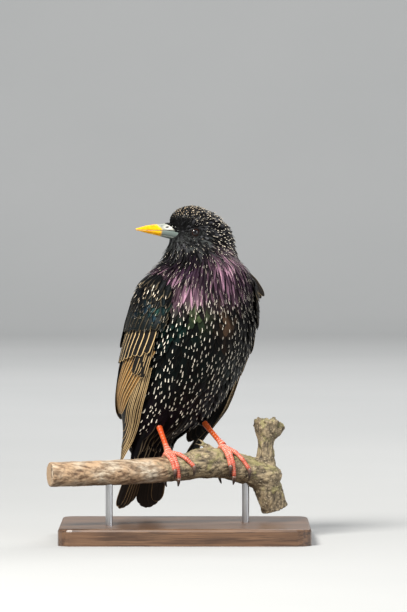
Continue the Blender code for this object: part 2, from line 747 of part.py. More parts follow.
def side_sign(side):
    return 1 if side == "right" else -1


def eye_middle(side):
    return bill_point(EYE_ALONG, side_sign(side) * (EYE_OUT - EYE_RADIUS), EYE_HEIGHT)


def eye_mesh(side, grow=0.0):
    return ball(eye_middle(side), EYE_RADIUS + grow, EYE_FACES, EYE_FACES // 2)


def lid_mesh(side):
    """The ring of bare skin round an eye."""
    middle = bill_point(EYE_ALONG, side_sign(side) * LID_OUT, EYE_HEIGHT)
    out = Vector((*(side_sign(side) * HEAD_SIDE), 0.0))
    ahead = Vector((*BILL_WAY, 0.0))
    up = Vector((0.0, 0.0, 1.0))
    mesh = bmesh.new()
    rows = []
    for step in range(LID_STEPS):
        turn = 2 * math.pi * step / LID_STEPS
        way = ahead * math.cos(turn) + up * math.sin(turn)
        hub = Vector(middle) + way * LID_RADIUS
        ring = []
        for place in range(LID_SIDES):
            roll = 2 * math.pi * place / LID_SIDES
            spoke = way * math.cos(roll) + out * math.sin(roll)
            ring.append(mesh.verts.new((hub + spoke * LID_THICK) * MM))
        rows.append(ring)
    for step, row in enumerate(rows):
        after = rows[(step + 1) % LID_STEPS]
        for place in range(LID_SIDES):
            beside = (place + 1) % LID_SIDES
            mesh.faces.new((row[place], row[beside], after[beside], after[place]))
    bmesh.ops.recalc_face_normals(mesh, faces=mesh.faces[:])
    return mesh


def gape_mesh(side):
    """A thin wedge that carries the mouth line back from the bill to the corner of the gape."""
    sign = side_sign(side)
    points = [bill_point(along, sign * out, height) for along, out, height in (GAPE_CORNER, GAPE_START)]
    return tube(points, GAPE_RADII, 6)


def ball(middle, radius, segments, rings):
    mesh = bmesh.new()
    bmesh.ops.create_uvsphere(mesh, u_segments=segments, v_segments=rings, radius=radius * MM)
    bmesh.ops.translate(mesh, verts=mesh.verts[:], vec=Vector(middle) * MM)
    return mesh


# Legs: where each comes out of the belly feathers, and where its foot sits along the branch
LEG_TOP = {"right": np.array([-15.2, 2.1, 65.0]), "left": np.array([9.6, 16.4, 66.0])}
LEG_FOOT = {"right": -9.5, "left": 21.2}
LEG_RADIUS = 1.45
LEG_SWELLS = (0.15, 0.0, -0.1, 0.0, 0.25)
FOOT_RADIUS = 1.95
FOOT_SHIFT = 0.5
FOOT_LIFT = 0.35
FOOT_DEG = -6.0
ANKLE_GAP = 1.1
THIGH_LENGTH = 9.0
THIGH_TOP_RADIUS = 4.8
THIGH_FOOT_RADIUS = 3.0
THIGH_SHOW = 3.8


def leg_way(side):
    way = foot_middle(side) - LEG_TOP[side]
    return way / np.linalg.norm(way)


def thigh_mesh(side, grow=0.0):
    way = leg_way(side)
    start = LEG_TOP[side] - (THIGH_LENGTH - THIGH_SHOW + grow) * way
    end = LEG_TOP[side] + (THIGH_SHOW + grow) * way
    points = [start, (start + end) / 2, end]
    middle_radius = (THIGH_TOP_RADIUS + THIGH_FOOT_RADIUS) / 2
    return tube(points, [THIGH_TOP_RADIUS + grow, middle_radius + grow, THIGH_FOOT_RADIUS + grow], 10)


def leg_mesh(side):
    way = leg_way(side)
    start = LEG_TOP[side] + (THIGH_SHOW + GAP) * way
    end = foot_middle(side) - (FOOT_RADIUS + ANKLE_GAP) * way
    points = [start + (end - start) * step / 4 for step in range(5)]
    return tube(points, [LEG_RADIUS + swell for swell in LEG_SWELLS], 12)


def perch_axis(along):
    """Middle and radius of the branch, by the distance along it across the front view."""
    height, radius = read_rows(PERCH_ROWS, along)
    place = FEET_MID[1] + (along - FEET_MID[0]) * PERCH_WAY[1] / PERCH_WAY[0]
    return np.array([along, place, height]), radius


def perch_point(along, degrees_from_top, grow=0.0):
    """A point on the branch: degrees run from its top forwards, towards the front view."""
    middle, radius = perch_axis(along)
    turn = math.radians(degrees_from_top)
    front = np.array([PERCH_WAY[1], -PERCH_WAY[0], 0.0])
    up = np.array([0.0, 0.0, 1.0])
    return middle + (radius + grow) * (math.cos(turn) * up + math.sin(turn) * front)


# Toes: start and end along the branch, start and end angle round it, the claw's further angle,
# radius, and how far the claw's tip stands off the branch
TOES = (
    ("inner", -1.6, 0.9, 10.0, 92.0, 34.0, 1.25, 0.8),
    ("middle", 0.6, 3.6, 8.0, 126.0, 26.0, 1.35, 3.0),
    ("outer", 2.6, 11.5, 10.0, 88.0, 34.0, 1.25, 0.8),
    ("hind", 0.0, 0.6, -24.0, -116.0, -38.0, 1.45, 3.2),
)
TOE_STEPS = 6
CLAW_STEPS = 5
CLAW_GAP_DEG = 4.6
CLAW_DRIFT = 0.4
CLAW_ARCH = 0.4
CLAW_SHARE = 0.66
CLAW_TIP_RADIUS = 0.22
TOE_TAPER = 0.22


def toe_path(side, toe, claw):
    """Middles and radii down a toe that lies round the branch, or down its claw."""
    start, end, first, last, further, radius, hook = toe[1:]
    foot = LEG_FOOT[side]
    points, radii = [], []
    steps = CLAW_STEPS if claw else TOE_STEPS
    for step in range(steps):
        share = step / (steps - 1)
        if claw:
            along = foot + end + CLAW_DRIFT * share
            angle = last + math.copysign(CLAW_GAP_DEG, further) + further * share
            size = radius * CLAW_SHARE * (1 - share) ** 0.8 + CLAW_TIP_RADIUS
            grow = size + GAP + CLAW_ARCH * (1 - share) + hook * share
        else:
            along = foot + start + (end - start) * share
            angle = first + (last - first) * share
            size = radius * (1 - TOE_TAPER * share)
            grow = size + GAP
        points.append(perch_point(along, angle, grow))
        radii.append(size)
    return points, radii


def foot_mesh_pieces(side):
    pieces = []
    for toe in TOES:
        points, radii = toe_path(side, toe, claw=False)
        points.insert(0, foot_middle(side))
        radii.insert(0, radii[0])
        pieces.append(tube(points, radii, 7))
    return pieces


def foot_middle(side):
    return perch_point(LEG_FOOT[side] + FOOT_SHIFT, FOOT_DEG, FOOT_RADIUS + FOOT_LIFT)


def make_foot(side, collection, material):
    foot = make_object(f"foot_{side}", ball(foot_middle(side), FOOT_RADIUS, 10, 6), material, collection)
    combine(foot, foot_mesh_pieces(side), "UNION")
    return foot


def make_perch(collection, material):
    rings = []
    first, last = PERCH_ROWS[0][0], PERCH_ROWS[-1][0]
    for step in range(PERCH_STEPS + 1):
        along = first + (last - first) * step / PERCH_STEPS
        rings.append([perch_point(along, 360 * turn / PERCH_SIDES) for turn in range(PERCH_SIDES)])
    perch = make_object("perch", loft(rings), material, collection)

    def front_view(place):
        middle = perch_axis(place[0])[0]
        return np.array([place[0], middle[1], place[1]])

    steps = len(STUB_RADII) - 1
    stub = [front_view(STUB_FOOT + (STUB_TOP - STUB_FOOT) * step / steps) for step in range(steps + 1)]
    spur = [front_view(STUB_TOP - np.array([0.0, 7.0])), front_view(SPUR_TIP)]
    branch = [front_view(STUB_FOOT + (BRANCH_END - STUB_FOOT) * step / 3) for step in range(4)]
    pieces = [
        tube(stub, STUB_RADII, 12),
        tube(spur, [4.5, 1.4], 8),
        tube(branch, [BRANCH_RADIUS + 0.6] * 2 + [BRANCH_RADIUS] * 2, 12),
    ]
    combine(perch, pieces, "UNION")
    combine(perch, [rod_mesh(across, GAP) for across in ROD_AT], "DIFFERENCE")
    return perch


def rod_mesh(across, grow=0.0):
    middle, radius = perch_axis(across)
    foot = BASE_HEIGHT - ROD_SINK - grow
    top = middle[2] - radius + ROD_SINK + grow
    points = [np.array([*middle[:2], height]) for height in (foot, top)]
    return tube(points, [ROD_RADIUS + grow] * 2, 16)


def make_base(collection, material):
    mesh = bmesh.new()
    bmesh.ops.create_cube(mesh, size=1.0)
    bmesh.ops.scale(mesh, verts=mesh.verts[:], vec=(BASE_LENGTH * MM, BASE_DEPTH * MM, BASE_HEIGHT * MM))
    bmesh.ops.translate(mesh, verts=mesh.verts[:], vec=(0.0, 0.0, BASE_HEIGHT * MM / 2))
    upright = [edge for edge in mesh.edges if abs(edge.verts[0].co.z - edge.verts[1].co.z) > 0.001]
    bmesh.ops.bevel(mesh, geom=upright, offset=5 * BASE_EDGE * MM, segments=4, profile=0.5, affect="EDGES")
    top = BASE_HEIGHT * MM - 1e-6
    rim = [edge for edge in mesh.edges if min(vertex.co.z for vertex in edge.verts) > top]
    bmesh.ops.bevel(mesh, geom=rim, offset=BASE_EDGE * MM, segments=2, profile=0.5, affect="EDGES")
    base = make_object("stand_base", mesh, material, collection)
    combine(base, [rod_mesh(across, GAP) for across in ROD_AT], "DIFFERENCE")
    return base


def main():
    clear_scene()
    collection = bpy.data.collections.new("starling")
    bpy.context.scene.collection.children.link(collection)
    plumage = make_material("plumage", (0.02, 0.02, 0.025), 0.35)
    flight = make_material("flight feathers", (0.06, 0.045, 0.03), 0.45)
    horn = make_material("bill", (0.75, 0.55, 0.12), 0.4)
    eye = make_material("eye", (0.02, 0.012, 0.008), 0.08)
    shank = make_material("leg skin", (0.62, 0.26, 0.16), 0.5)
    claw = make_material("claw", (0.05, 0.04, 0.035), 0.35)
    bark = make_material("bark", (0.3, 0.2, 0.12), 0.85)
    board = make_material("stand wood", (0.16, 0.09, 0.05), 0.4)
    steel = make_material("stand steel", (0.6, 0.6, 0.6), 0.3, 1.0)

    make_head(collection, plumage)
    make_neck(collection, plumage)
    make_torso(collection, plumage)
    make_tail(collection, flight)
    make_bill(collection, horn)
    for side in SIDES:
        make_wing(side, collection, flight)
        make_object(f"eye_{side}", eye_mesh(side), eye, collection)
        make_object(f"thigh_{side}", thigh_mesh(side), plumage, collection)
        make_object(f"leg_{side}", leg_mesh(side), shank, collection)
        make_foot(side, collection, shank)
        for toe in TOES:
            points, radii = toe_path(side, toe, claw=True)
            make_object(f"claw_{side}_{toe[0]}", tube(points, radii, 6), claw, collection)
    make_perch(collection, bark)
    make_base(collection, board)
    for name, across in zip(("left", "right"), ROD_AT):
        make_object(f"stand_rod_{name}", rod_mesh(across), steel, collection)


main()
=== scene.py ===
import math
from itertools import product

import bmesh
import bpy
import numpy as np
from mathutils import Matrix, Vector, noise
from mathutils.bvhtree import BVHTree


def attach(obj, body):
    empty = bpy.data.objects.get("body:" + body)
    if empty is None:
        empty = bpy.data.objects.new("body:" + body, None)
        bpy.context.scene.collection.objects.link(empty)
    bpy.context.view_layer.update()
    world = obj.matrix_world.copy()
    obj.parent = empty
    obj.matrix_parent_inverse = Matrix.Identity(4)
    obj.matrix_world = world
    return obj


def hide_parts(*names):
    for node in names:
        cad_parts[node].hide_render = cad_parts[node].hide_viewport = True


# A starling gripping a cut length of forked branch, as a museum model on a display stand.
# Lengths are millimetres until a mesh is made. Places on the bird are (forward, right, height),
# level, and measured from a point between its feet.
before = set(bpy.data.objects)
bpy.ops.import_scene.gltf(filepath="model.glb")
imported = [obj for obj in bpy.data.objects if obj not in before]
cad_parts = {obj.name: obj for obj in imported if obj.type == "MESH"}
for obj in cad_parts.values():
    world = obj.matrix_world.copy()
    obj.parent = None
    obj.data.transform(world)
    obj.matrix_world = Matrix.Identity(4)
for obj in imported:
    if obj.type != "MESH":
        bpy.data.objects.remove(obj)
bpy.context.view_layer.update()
mm = 0.001
sides = ("left", "right")
signs = {"left": -1, "right": 1}

stance = {"feet": (7.3, -8.0), "heading": 30.0, "headTurn": 20.0, "headMiddle": (8.6, -12.0)}

# height, middle forward, middle right, half width, reach in front, reach behind, squareness in front
bodyRows = (
    (170.0, 5.2, 0.0, 19.0, 19.0, 19.5, 2.0),
    (158.0, 5.0, 0.0, 20.5, 21.0, 21.0, 2.0),
    (150.0, 3.0, 0.0, 27.5, 25.5, 24.5, 2.0),
    (143.0, 0.6, 0.0, 31.3, 28.5, 27.0, 2.0),
    (132.0, -2.5, 0.0, 32.8, 31.5, 29.5, 2.0),
    (120.0, -5.0, 0.0, 33.3, 33.0, 30.5, 2.0),
    (108.0, -9.0, 0.0, 32.6, 32.0, 29.5, 2.0),
    (96.0, -15.0, 0.0, 31.0, 29.0, 26.5, 2.0),
    (84.0, -21.5, 0.6, 28.0, 24.5, 21.5, 2.0),
    (74.0, -27.0, 1.6, 24.5, 20.0, 18.0, 2.0),
    (64.0, -32.5, 4.2, 20.0, 16.0, 13.5, 2.0),
    (54.0, -41.0, 7.6, 14.0, 9.0, 6.5, 2.0),
    (49.0, -44.0, 8.2, 10.0, 6.5, 4.6, 2.0),
    (46.0, -45.6, 8.4, 5.0, 3.6, 2.8, 2.0),
    (45.2, -46.0, 8.5, 0.5, 0.5, 0.5, 2.0),
)
# the same for the outside of the folded wings
wingRows = (
    (152.0, 3.0, 0.0, 28.0, 25.0, 24.5, 2.0),
    (143.0, 0.6, 0.0, 34.5, 29.0, 29.5, 2.0),
    (132.0, -2.5, 0.0, 37.0, 32.0, 33.0, 2.0),
    (120.0, -5.0, 0.0, 38.5, 33.5, 34.5, 2.0),
    (108.0, -9.0, 0.0, 38.3, 32.5, 34.0, 2.0),
    (96.0, -15.0, 0.0, 37.3, 29.5, 31.0, 2.0),
    (84.0, -21.5, 0.0, 35.6, 25.0, 26.5, 2.0),
    (74.0, -27.5, 0.0, 32.6, 20.5, 23.0, 2.0),
    (64.0, -33.5, 0.0, 27.8, 17.0, 17.5, 2.0),
    (54.0, -40.0, 0.0, 24.2, 14.0, 13.5, 2.0),
    (44.0, -45.0, 0.0, 22.4, 12.0, 10.0, 2.0),
    (34.0, -49.5, 0.0, 21.2, 10.0, 7.5, 2.0),
    (26.0, -52.5, 0.0, 20.4, 8.0, 5.5, 2.0),
)
# distance along the bill, half width, top, mouth line, bottom
billRows = (
    (9, 6.4, 177, 170.4, 166.9), (13, 5.3, 177.3, 171.8, 167.6), (17, 4.3, 177.5, 173, 168.6),
    (21, 3.5, 177.2, 173.4, 169.6), (26, 2.7, 176.8, 173.4, 170.9), (31, 1.9, 176.2, 173.5, 172),
    (35, 1.2, 175.3, 173.8, 173), (38.1, 0.4, 174.6, 174.1, 173.6),
)
# as bodyRows, but along and across the bill from the head's middle
headRows = (
    (187.4, 5.0, 0.0, 0.4, 0.4, 0.4, 2.0),
    (186.6, 4.9, 0.0, 4.6, 5.2, 5.0, 2.0),
    (184.8, 4.6, 0.0, 7.2, 9.6, 8.2, 2.0),
    (181.6, 3.6, 0.0, 9.4, 13.6, 12.0, 1.85),
    (177.6, 2.2, 0.0, 10.9, 16.2, 15.8, 1.7),
    (173.4, 1.2, 0.0, 11.5, 17.2, 18.0, 1.55),
    (169.4, 0.6, 0.0, 12.2, 18.0, 19.2, 1.6),
    (165.4, 0.4, 0.0, 13.4, 18.8, 20.0, 1.75),
    (161.0, 0.0, 0.0, 16.0, 19.8, 20.4, 1.95),
    (150.0, 0.0, 0.0, 24.0, 24.0, 24.0, 2.0),
)
# how much further out the folded wing lies than its rows say, by height
wingSpread = {
    "right": ((125.0, 0.0), (85.0, 1.8), (60.0, 1.2), (45.0, 2.2), (28.0, 3.2)),
    "left": ((130.0, -0.6), (118.0, -1.6), (96.0, -1.6), (85.0, -0.6), (66.0, 3.0), (54.0, 1.6)),
}
# height, then the degrees from the breast of the folded wing's front and back edges
wingEdges = (
    (147.5, 76.0, 112.0), (144.0, 63.0, 134.0), (138.0, 58.0, 146.0), (120.0, 61.0, 160.0),
    (100.0, 65.0, 168.0), (88.0, 67.0, 170.0), (78.0, 72.0, 164.0),
)
# how deep the coat lies over the skin, by height
coatDepth = ((45.0, 1.0), (60.0, 1.3), (120.0, 1.6), (150.0, 1.4), (162.0, 0.9), (172.0, 0.6), (188.0, 0.6))
neckBlend = (150.0, 163.0)  # heights between which the body's shape becomes the head's


def curveThrough(rows):
    # a smooth curve through a table's rows that makes no bump between them
    order = np.array(sorted(rows), float)
    keys, values = order[:, 0], order[:, 1:]
    steps = np.diff(keys)[:, None]
    slopes = np.diff(values, axis=0) / steps
    before, after = slopes[:-1], slopes[1:]
    both = np.where(before + after == 0, 1.0, before + after)
    inner = np.where(before * after > 0, 2 * before * after / both, 0.0)
    turns = np.vstack([slopes[:1], inner, slopes[-1:]])

    def at(key):
        key = np.clip(np.asarray(key, float), keys[0], keys[-1])
        spot = np.clip(np.searchsorted(keys, key, side="right") - 1, 0, len(keys) - 2)
        step = steps[spot]
        share = ((key - keys[spot]) / steps[spot, 0])[..., None]
        square, cube = share**2, share**3
        start = (2 * cube - 3 * square + 1) * values[spot] + (cube - 2 * square + share) * turns[spot] * step
        return start + (3 * square - 2 * cube) * values[spot + 1] + (cube - square) * turns[spot + 1] * step

    return at


def wayOf(degrees):
    return np.array([math.cos(math.radians(degrees)), math.sin(math.radians(degrees))])


feet = np.array(stance["feet"])
forwardAngle = math.radians(stance["heading"] - 90.0)
forwardWay = wayOf(stance["heading"] - 90.0)
rightWay = wayOf(stance["heading"] - 180.0)
billAngle = math.radians(stance["headTurn"] - 180.0)
billWay = wayOf(stance["headTurn"] - 180.0)
headSide = np.array([billWay[1], -billWay[0]])
headMiddle = np.array(stance["headMiddle"])
bodyAt, wingAt, headAt = curveThrough(bodyRows), curveThrough(wingRows), curveThrough(headRows)
edgesAt, depthAt = curveThrough(wingEdges), curveThrough(coatDepth)
spreadAt = {side: curveThrough(rows) for side, rows in wingSpread.items()}


def smoothShare(value, low, high):
    # from 0 at low to 1 at high, with soft ends
    share = np.clip((np.asarray(value, float) - low) / (high - low), 0.0, 1.0)
    return share * share * (3 - 2 * share)


def bandShare(value, up, down):
    # 0, up to 1, and down to 0 again
    return smoothShare(value, *up) * (1 - smoothShare(value, *down))


def between(pair, share):
    return pair[0] * (1 - share) + pair[1] * share


def bump(value, middle, reach):
    return np.exp(-(((np.asarray(value) - middle) / reach) ** 2))


def unit(vectors):
    return vectors / np.maximum(np.linalg.norm(vectors, axis=-1, keepdims=True), 1e-9)


def levelPoint(forward, right):
    return feet + np.asarray(forward)[..., None] * forwardWay + np.asarray(right)[..., None] * rightWay


def birdPoint(forward, right, height):
    flat = levelPoint(forward, right)
    return np.concatenate([flat, np.broadcast_to(np.asarray(height, float), flat.shape[:-1])[..., None]], axis=-1)


def levelMiddle(shape):
    return levelPoint(shape[..., 0], shape[..., 1])


def outFrom(middle, angle, reach, height):
    way = np.stack([np.cos(angle), np.sin(angle)], axis=-1)
    return np.concatenate([middle + reach[..., None] * way, height[..., None]], axis=-1)


def ovalReach(angle, shape):
    # how far an oval's edge is from its middle; shape is half width, front, back, squareness in front
    ahead, aside = np.cos(angle), np.sin(angle)
    along = np.where(ahead > 0, shape[..., 1], shape[..., 2])
    power = np.where(ahead > 0, shape[..., 3], 2.0)
    return (np.abs(ahead / along) ** power + np.abs(aside / shape[..., 0]) ** power) ** (-1 / power)


def bodyAxis(height):
    # the middle of the body at a height, how much of it is head there, and both shapes
    share = smoothShare(height, *neckBlend)[..., None]
    torso, head = bodyAt(height), headAt(height)
    middle = (1 - share) * levelMiddle(torso)
    middle = middle + share * (headMiddle + head[..., :1] * billWay + head[..., 1:2] * headSide)
    return middle, share, torso, head


def bodyPoint(height, angle, grow=0.0):
    height, angle = np.broadcast_arrays(np.asarray(height, float), np.asarray(angle, float))
    middle, share, torso, head = bodyAxis(height)
    reach = (1 - share[..., 0]) * ovalReach(angle - forwardAngle, torso[..., 2:])
    reach = reach + share[..., 0] * ovalReach(angle - billAngle, head[..., 2:])
    return outFrom(middle, angle, reach + grow, height)


def sideAngle(side, degrees):
    turn = np.radians(degrees)
    return forwardAngle - turn if side == "right" else forwardAngle + turn


def wingPoint(side, height, degrees, grow=0.0):
    height, degrees = np.broadcast_arrays(np.asarray(height, float), np.asarray(degrees, float))
    angle = sideAngle(side, degrees)
    shape = wingAt(height)
    reach = ovalReach(angle - forwardAngle, shape[..., 2:])
    reach = reach + spreadAt[side](height)[..., 0] * np.abs(np.sin(angle - forwardAngle)) + grow
    return outFrom(levelMiddle(shape), angle, reach, height)


def billPoint(along, side, height):
    along, side, height = np.broadcast_arrays(np.asarray(along, float), side, height)
    flat = headMiddle + along[..., None] * billWay + side[..., None] * headSide
    return np.concatenate([flat, height[..., None]], axis=-1)


# Materials


def newMaterial(name):
    material = bpy.data.materials.new(name)
    material.use_nodes = True
    return material, material.node_tree, material.node_tree.nodes["Principled BSDF"]


def feed(tree, value, socket):
    if isinstance(value, bpy.types.NodeSocket):
        tree.links.new(value, socket)
    else:
        socket.default_value = value


def calc(tree, operation, *values, clamp=False):
    node = tree.nodes.new("ShaderNodeMath")
    node.operation = operation
    node.use_clamp = clamp
    for value, socket in zip(values, node.inputs):
        feed(tree, value, socket)
    return node.outputs[0]


def setInputs(tree, shader, values):
    for name, value in values.items():
        feed(tree, value, shader.inputs[name])


def flipped(tree, value, clamp=False):
    return calc(tree, "SUBTRACT", 1.0, value, clamp=clamp)


def spread(tree, value, low, high):
    # from 0 at low to 1 at high, with soft ends
    node = tree.nodes.new("ShaderNodeMapRange")
    node.interpolation_type = "SMOOTHSTEP"
    setInputs(tree, node, {"Value": value, "From Min": low, "From Max": high})
    return node.outputs["Result"]


def tint(tree, share, first, second):
    # first colour where the share is 0, second where it is 1
    node = tree.nodes.new("ShaderNodeMix")
    node.data_type = "RGBA"
    feed(tree, share, node.inputs["Factor"])
    for name, given in (("A", first), ("B", second)):
        socket = [item for item in node.inputs if item.name == name and item.type == "RGBA"][0]
        feed(tree, (*given, 1.0) if isinstance(given, tuple) else given, socket)
    return [item for item in node.outputs if item.type == "RGBA"][0]


def cloud(tree, scale, detail=3.0, stretch=None, roughness=0.55):
    node = tree.nodes.new("ShaderNodeTexNoise")
    setInputs(tree, node, {"Scale": scale, "Detail": detail, "Roughness": roughness})
    where = tree.nodes.new("ShaderNodeTexCoord").outputs["Object"]
    if stretch is not None:
        mapping = tree.nodes.new("ShaderNodeMapping")
        mapping.inputs["Scale"].default_value = stretch
        tree.links.new(where, mapping.inputs["Vector"])
        where = mapping.outputs["Vector"]
    tree.links.new(where, node.inputs["Vector"])
    return node.outputs["Fac"]


def wobble(tree, value, size, *look):
    # the value moved either way by a noise
    noiseShare = calc(tree, "MULTIPLY_ADD", cloud(tree, *look), size, -size / 2)
    return calc(tree, "ADD", value, noiseShare)


def relief(tree, shader, height, strength, distance):
    node = tree.nodes.new("ShaderNodeBump")
    setInputs(tree, node, {"Strength": strength, "Distance": distance, "Height": height})
    tree.links.new(node.outputs["Normal"], shader.inputs["Normal"])


def attribute(tree, name):
    node = tree.nodes.new("ShaderNodeAttribute")
    node.attribute_name = name
    return node


def parts(tree, colour):
    node = tree.nodes.new("ShaderNodeSeparateColor")
    feed(tree, colour, node.inputs["Color"])
    return node.outputs


def vaneInputs(tree):
    # place across and along the feather, distance from its middle, and its own "gloss" and "mark"
    node = tree.nodes.new("ShaderNodeUVMap")
    node.uv_map = "vane"
    split = tree.nodes.new("ShaderNodeSeparateXYZ")
    tree.links.new(node.outputs["UV"], split.inputs["Vector"])
    across, along = split.outputs["X"], split.outputs["Y"]
    side = calc(tree, "ABSOLUTE", calc(tree, "MULTIPLY_ADD", across, 2.0, -1.0))
    gloss, mark = attribute(tree, "gloss").outputs, attribute(tree, "mark").outputs
    return across, along, side, gloss, parts(tree, mark["Color"]), mark["Alpha"]


def barbLines(tree, along, side, slant, number):
    # fine lines that slant out from the shaft
    slanted = calc(tree, "SUBTRACT", along, calc(tree, "MULTIPLY", side, slant))
    return calc(tree, "SINE", calc(tree, "MULTIPLY", slanted, number))


def coatMaterial():
    # "gloss" is the dark colour, with painted sheen and painted highlights on the neck and breast, and its metal
    # share; "mark" the pale tip's length, width, dull edge and buffness
    material, tree, shader = newMaterial("bodyFeathers")
    _, along, side, gloss, mark, buff = vaneInputs(tree)
    rough = wobble(tree, side, 0.14, 1300.0, 2.0)
    # how far into the pale tip a point is, and how wide the tip is there
    start = flipped(tree, mark["Red"])
    length = calc(tree, "MAXIMUM", mark["Red"], 0.01)
    into = calc(tree, "DIVIDE", calc(tree, "SUBTRACT", along, start), length, clamp=True)
    width = calc(tree, "MULTIPLY", mark["Green"], calc(tree, "POWER", into, 0.75))
    spot = spread(tree, calc(tree, "SUBTRACT", width, rough), 0.0, 0.07)
    spot = calc(tree, "MULTIPLY", spot, spread(tree, into, 0.02, 0.2))
    edge = calc(tree, "MULTIPLY", spread(tree, rough, 0.72, 0.95), mark["Blue"])
    edge = calc(tree, "MULTIPLY", edge, spread(tree, along, 0.35, 0.6))
    pale = tint(tree, buff, (0.80, 0.74, 0.62), (0.50, 0.30, 0.12))
    barbs = barbLines(tree, along, side, 0.22, 150.0)
    dark = tint(tree, calc(tree, "MULTIPLY_ADD", barbs, 0.12, 0.12), gloss["Color"], (0.0, 0.0, 0.0))
    colour = tint(tree, edge, dark, (0.34, 0.26, 0.16))
    colour = tint(tree, spot, colour, pale)
    plain = flipped(tree, calc(tree, "MAXIMUM", spot, edge), clamp=True)
    setInputs(tree, shader, {
        "Base Color": colour,
        "Metallic": calc(tree, "MULTIPLY", gloss["Alpha"], plain),
        "Roughness": calc(tree, "MULTIPLY_ADD", plain, -0.20, 0.58),
        "Specular IOR Level": 0.07,
    })
    height = calc(tree, "MULTIPLY_ADD", barbs, 0.5, calc(tree, "MULTIPLY", side, -1.0))
    relief(tree, shader, height, 0.35, 0.0001)
    return material


def flightMaterial():
    # "gloss" is the web's colour, "mark" the front edge's width and strength, how golden the outer web is,
    # and how much of an edge the tip and the back have
    material, tree, shader = newMaterial("flightFeathers")
    across, along, side, gloss, mark, tipShare = vaneInputs(tree)
    front = wobble(tree, across, 0.06, 700.0, 2.0)
    barbs = barbLines(tree, along, side, 0.1, 420.0)
    outerWeb = flipped(tree, spread(tree, front, 0.12, 0.22))
    golden = calc(tree, "MULTIPLY", outerWeb, mark["Blue"])
    streaks = cloud(tree, 420.0, 3.0, stretch=(1, 1, 0.25))
    golden = calc(tree, "MULTIPLY", golden, calc(tree, "MULTIPLY_ADD", streaks, 0.9, 0.35), clamp=True)
    colour = tint(tree, golden, gloss["Color"], (0.33, 0.155, 0.032))
    edge = flipped(tree, spread(tree, calc(tree, "DIVIDE", front, mark["Red"]), 0.7, 1.3))
    tip = calc(tree, "MULTIPLY", spread(tree, along, 0.93, 0.985), tipShare)
    back = calc(tree, "MULTIPLY", spread(tree, front, 0.93, 0.98), tipShare)
    edge = calc(tree, "MAXIMUM", edge, calc(tree, "MAXIMUM", tip, back))
    edge = calc(tree, "MULTIPLY", edge, mark["Green"])
    colour = tint(tree, edge, colour, (0.70, 0.49, 0.24))
    fromShaft = calc(tree, "ABSOLUTE", calc(tree, "SUBTRACT", across, 0.46))
    shaft = flipped(tree, spread(tree, fromShaft, 0.02, 0.05))
    colour = tint(tree, calc(tree, "MULTIPLY", shaft, 0.7), colour, (0.01, 0.008, 0.006))
    colour = tint(tree, calc(tree, "MULTIPLY_ADD", barbs, 0.1, 0.1), colour, (0.0, 0.0, 0.0))
    setInputs(tree, shader, {
        "Base Color": colour,
        "Metallic": calc(tree, "MULTIPLY", gloss["Alpha"], flipped(tree, edge, clamp=True)),
        "Roughness": 0.48,
        "Specular IOR Level": 0.22,
    })
    relief(tree, shader, calc(tree, "MULTIPLY_ADD", barbs, 0.35, shaft), 0.4, 0.0001)
    return material


# Meshes

sharpAngle = math.radians(50.0)


def placed(name, data):
    item = bpy.data.objects.new(name, data)
    bpy.context.scene.collection.objects.link(item)
    return item


def meshFrom(name, points, faces, material):
    # faces all have the same number of corners
    data = bpy.data.meshes.new(name)
    faces = np.asarray(faces)
    data.vertices.add(len(points))
    data.vertices.foreach_set("co", (np.asarray(points, float) * mm).astype(np.float32).ravel())
    count = faces.shape[1]
    data.loops.add(faces.size)
    data.loops.foreach_set("vertex_index", faces.astype(np.int32).ravel())
    data.polygons.add(len(faces))
    data.polygons.foreach_set("loop_start", np.arange(0, faces.size, count, dtype=np.int32))
    data.update(calc_edges=True)
    data.shade_smooth()
    data.set_sharp_from_angle(angle=sharpAngle)
    data.materials.append(material)
    return placed(name, data)


def setUv(item, name, values):
    # values are one pair to a vertex
    layer = item.data.uv_layers.new(name=name)
    corners = np.empty(len(item.data.loops), np.int32)
    item.data.loops.foreach_get("vertex_index", corners)
    layer.data.foreach_set("uv", values[corners].astype(np.float32).ravel())


def setColour(item, name, values):
    layer = item.data.attributes.new(name, "FLOAT_COLOR", "POINT")
    layer.data.foreach_set("color", values.astype(np.float32).ravel())


def setShare(item, name, values):
    layer = item.data.attributes.new(name, "FLOAT", "POINT")
    layer.data.foreach_set("value", values.astype(np.float32))


# Surfaces that feathers grow from


def gridFaces(rows, columns, closed=True):
    faces = []
    for row in range(rows - 1):
        for column in range(columns if closed else columns - 1):
            after = (column + 1) % columns
            a, b = row * columns + column, row * columns + after
            faces.append((a, b, b + columns, a + columns))
    return np.array(faces)


def makeSurface(grid, inside, closed=True):
    # a grid of points as a thing to scatter on and walk over, facing away from a place inside it
    rows, columns = grid.shape[:2]
    points = grid.reshape(-1, 3)
    faces = gridFaces(rows, columns, closed)
    corners = points[faces]
    normals = np.cross(corners[:, 2] - corners[:, 0], corners[:, 3] - corners[:, 1])
    areas = np.linalg.norm(normals, axis=1) / 2
    if ((corners.mean(axis=1) - inside) * normals).sum() < 0:
        normals = -normals
    smooth = np.zeros_like(points)
    for corner in range(4):
        np.add.at(smooth, faces[:, corner], normals)
    tree = BVHTree.FromPolygons([tuple(point) for point in points], [tuple(face) for face in faces])
    return {"points": points, "faces": faces, "areas": areas, "normals": unit(smooth), "tree": tree}


def drop(surface, point):
    # nearest place on the surface, with a smooth normal there
    found, _, index, _ = surface["tree"].find_nearest(Vector(point))
    corners = surface["faces"][index]
    near = 1.0 / (np.linalg.norm(surface["points"][corners] - np.array(found), axis=1) + 0.05)
    return np.array(found), unit((surface["normals"][corners] * near[:, None]).sum(axis=0))


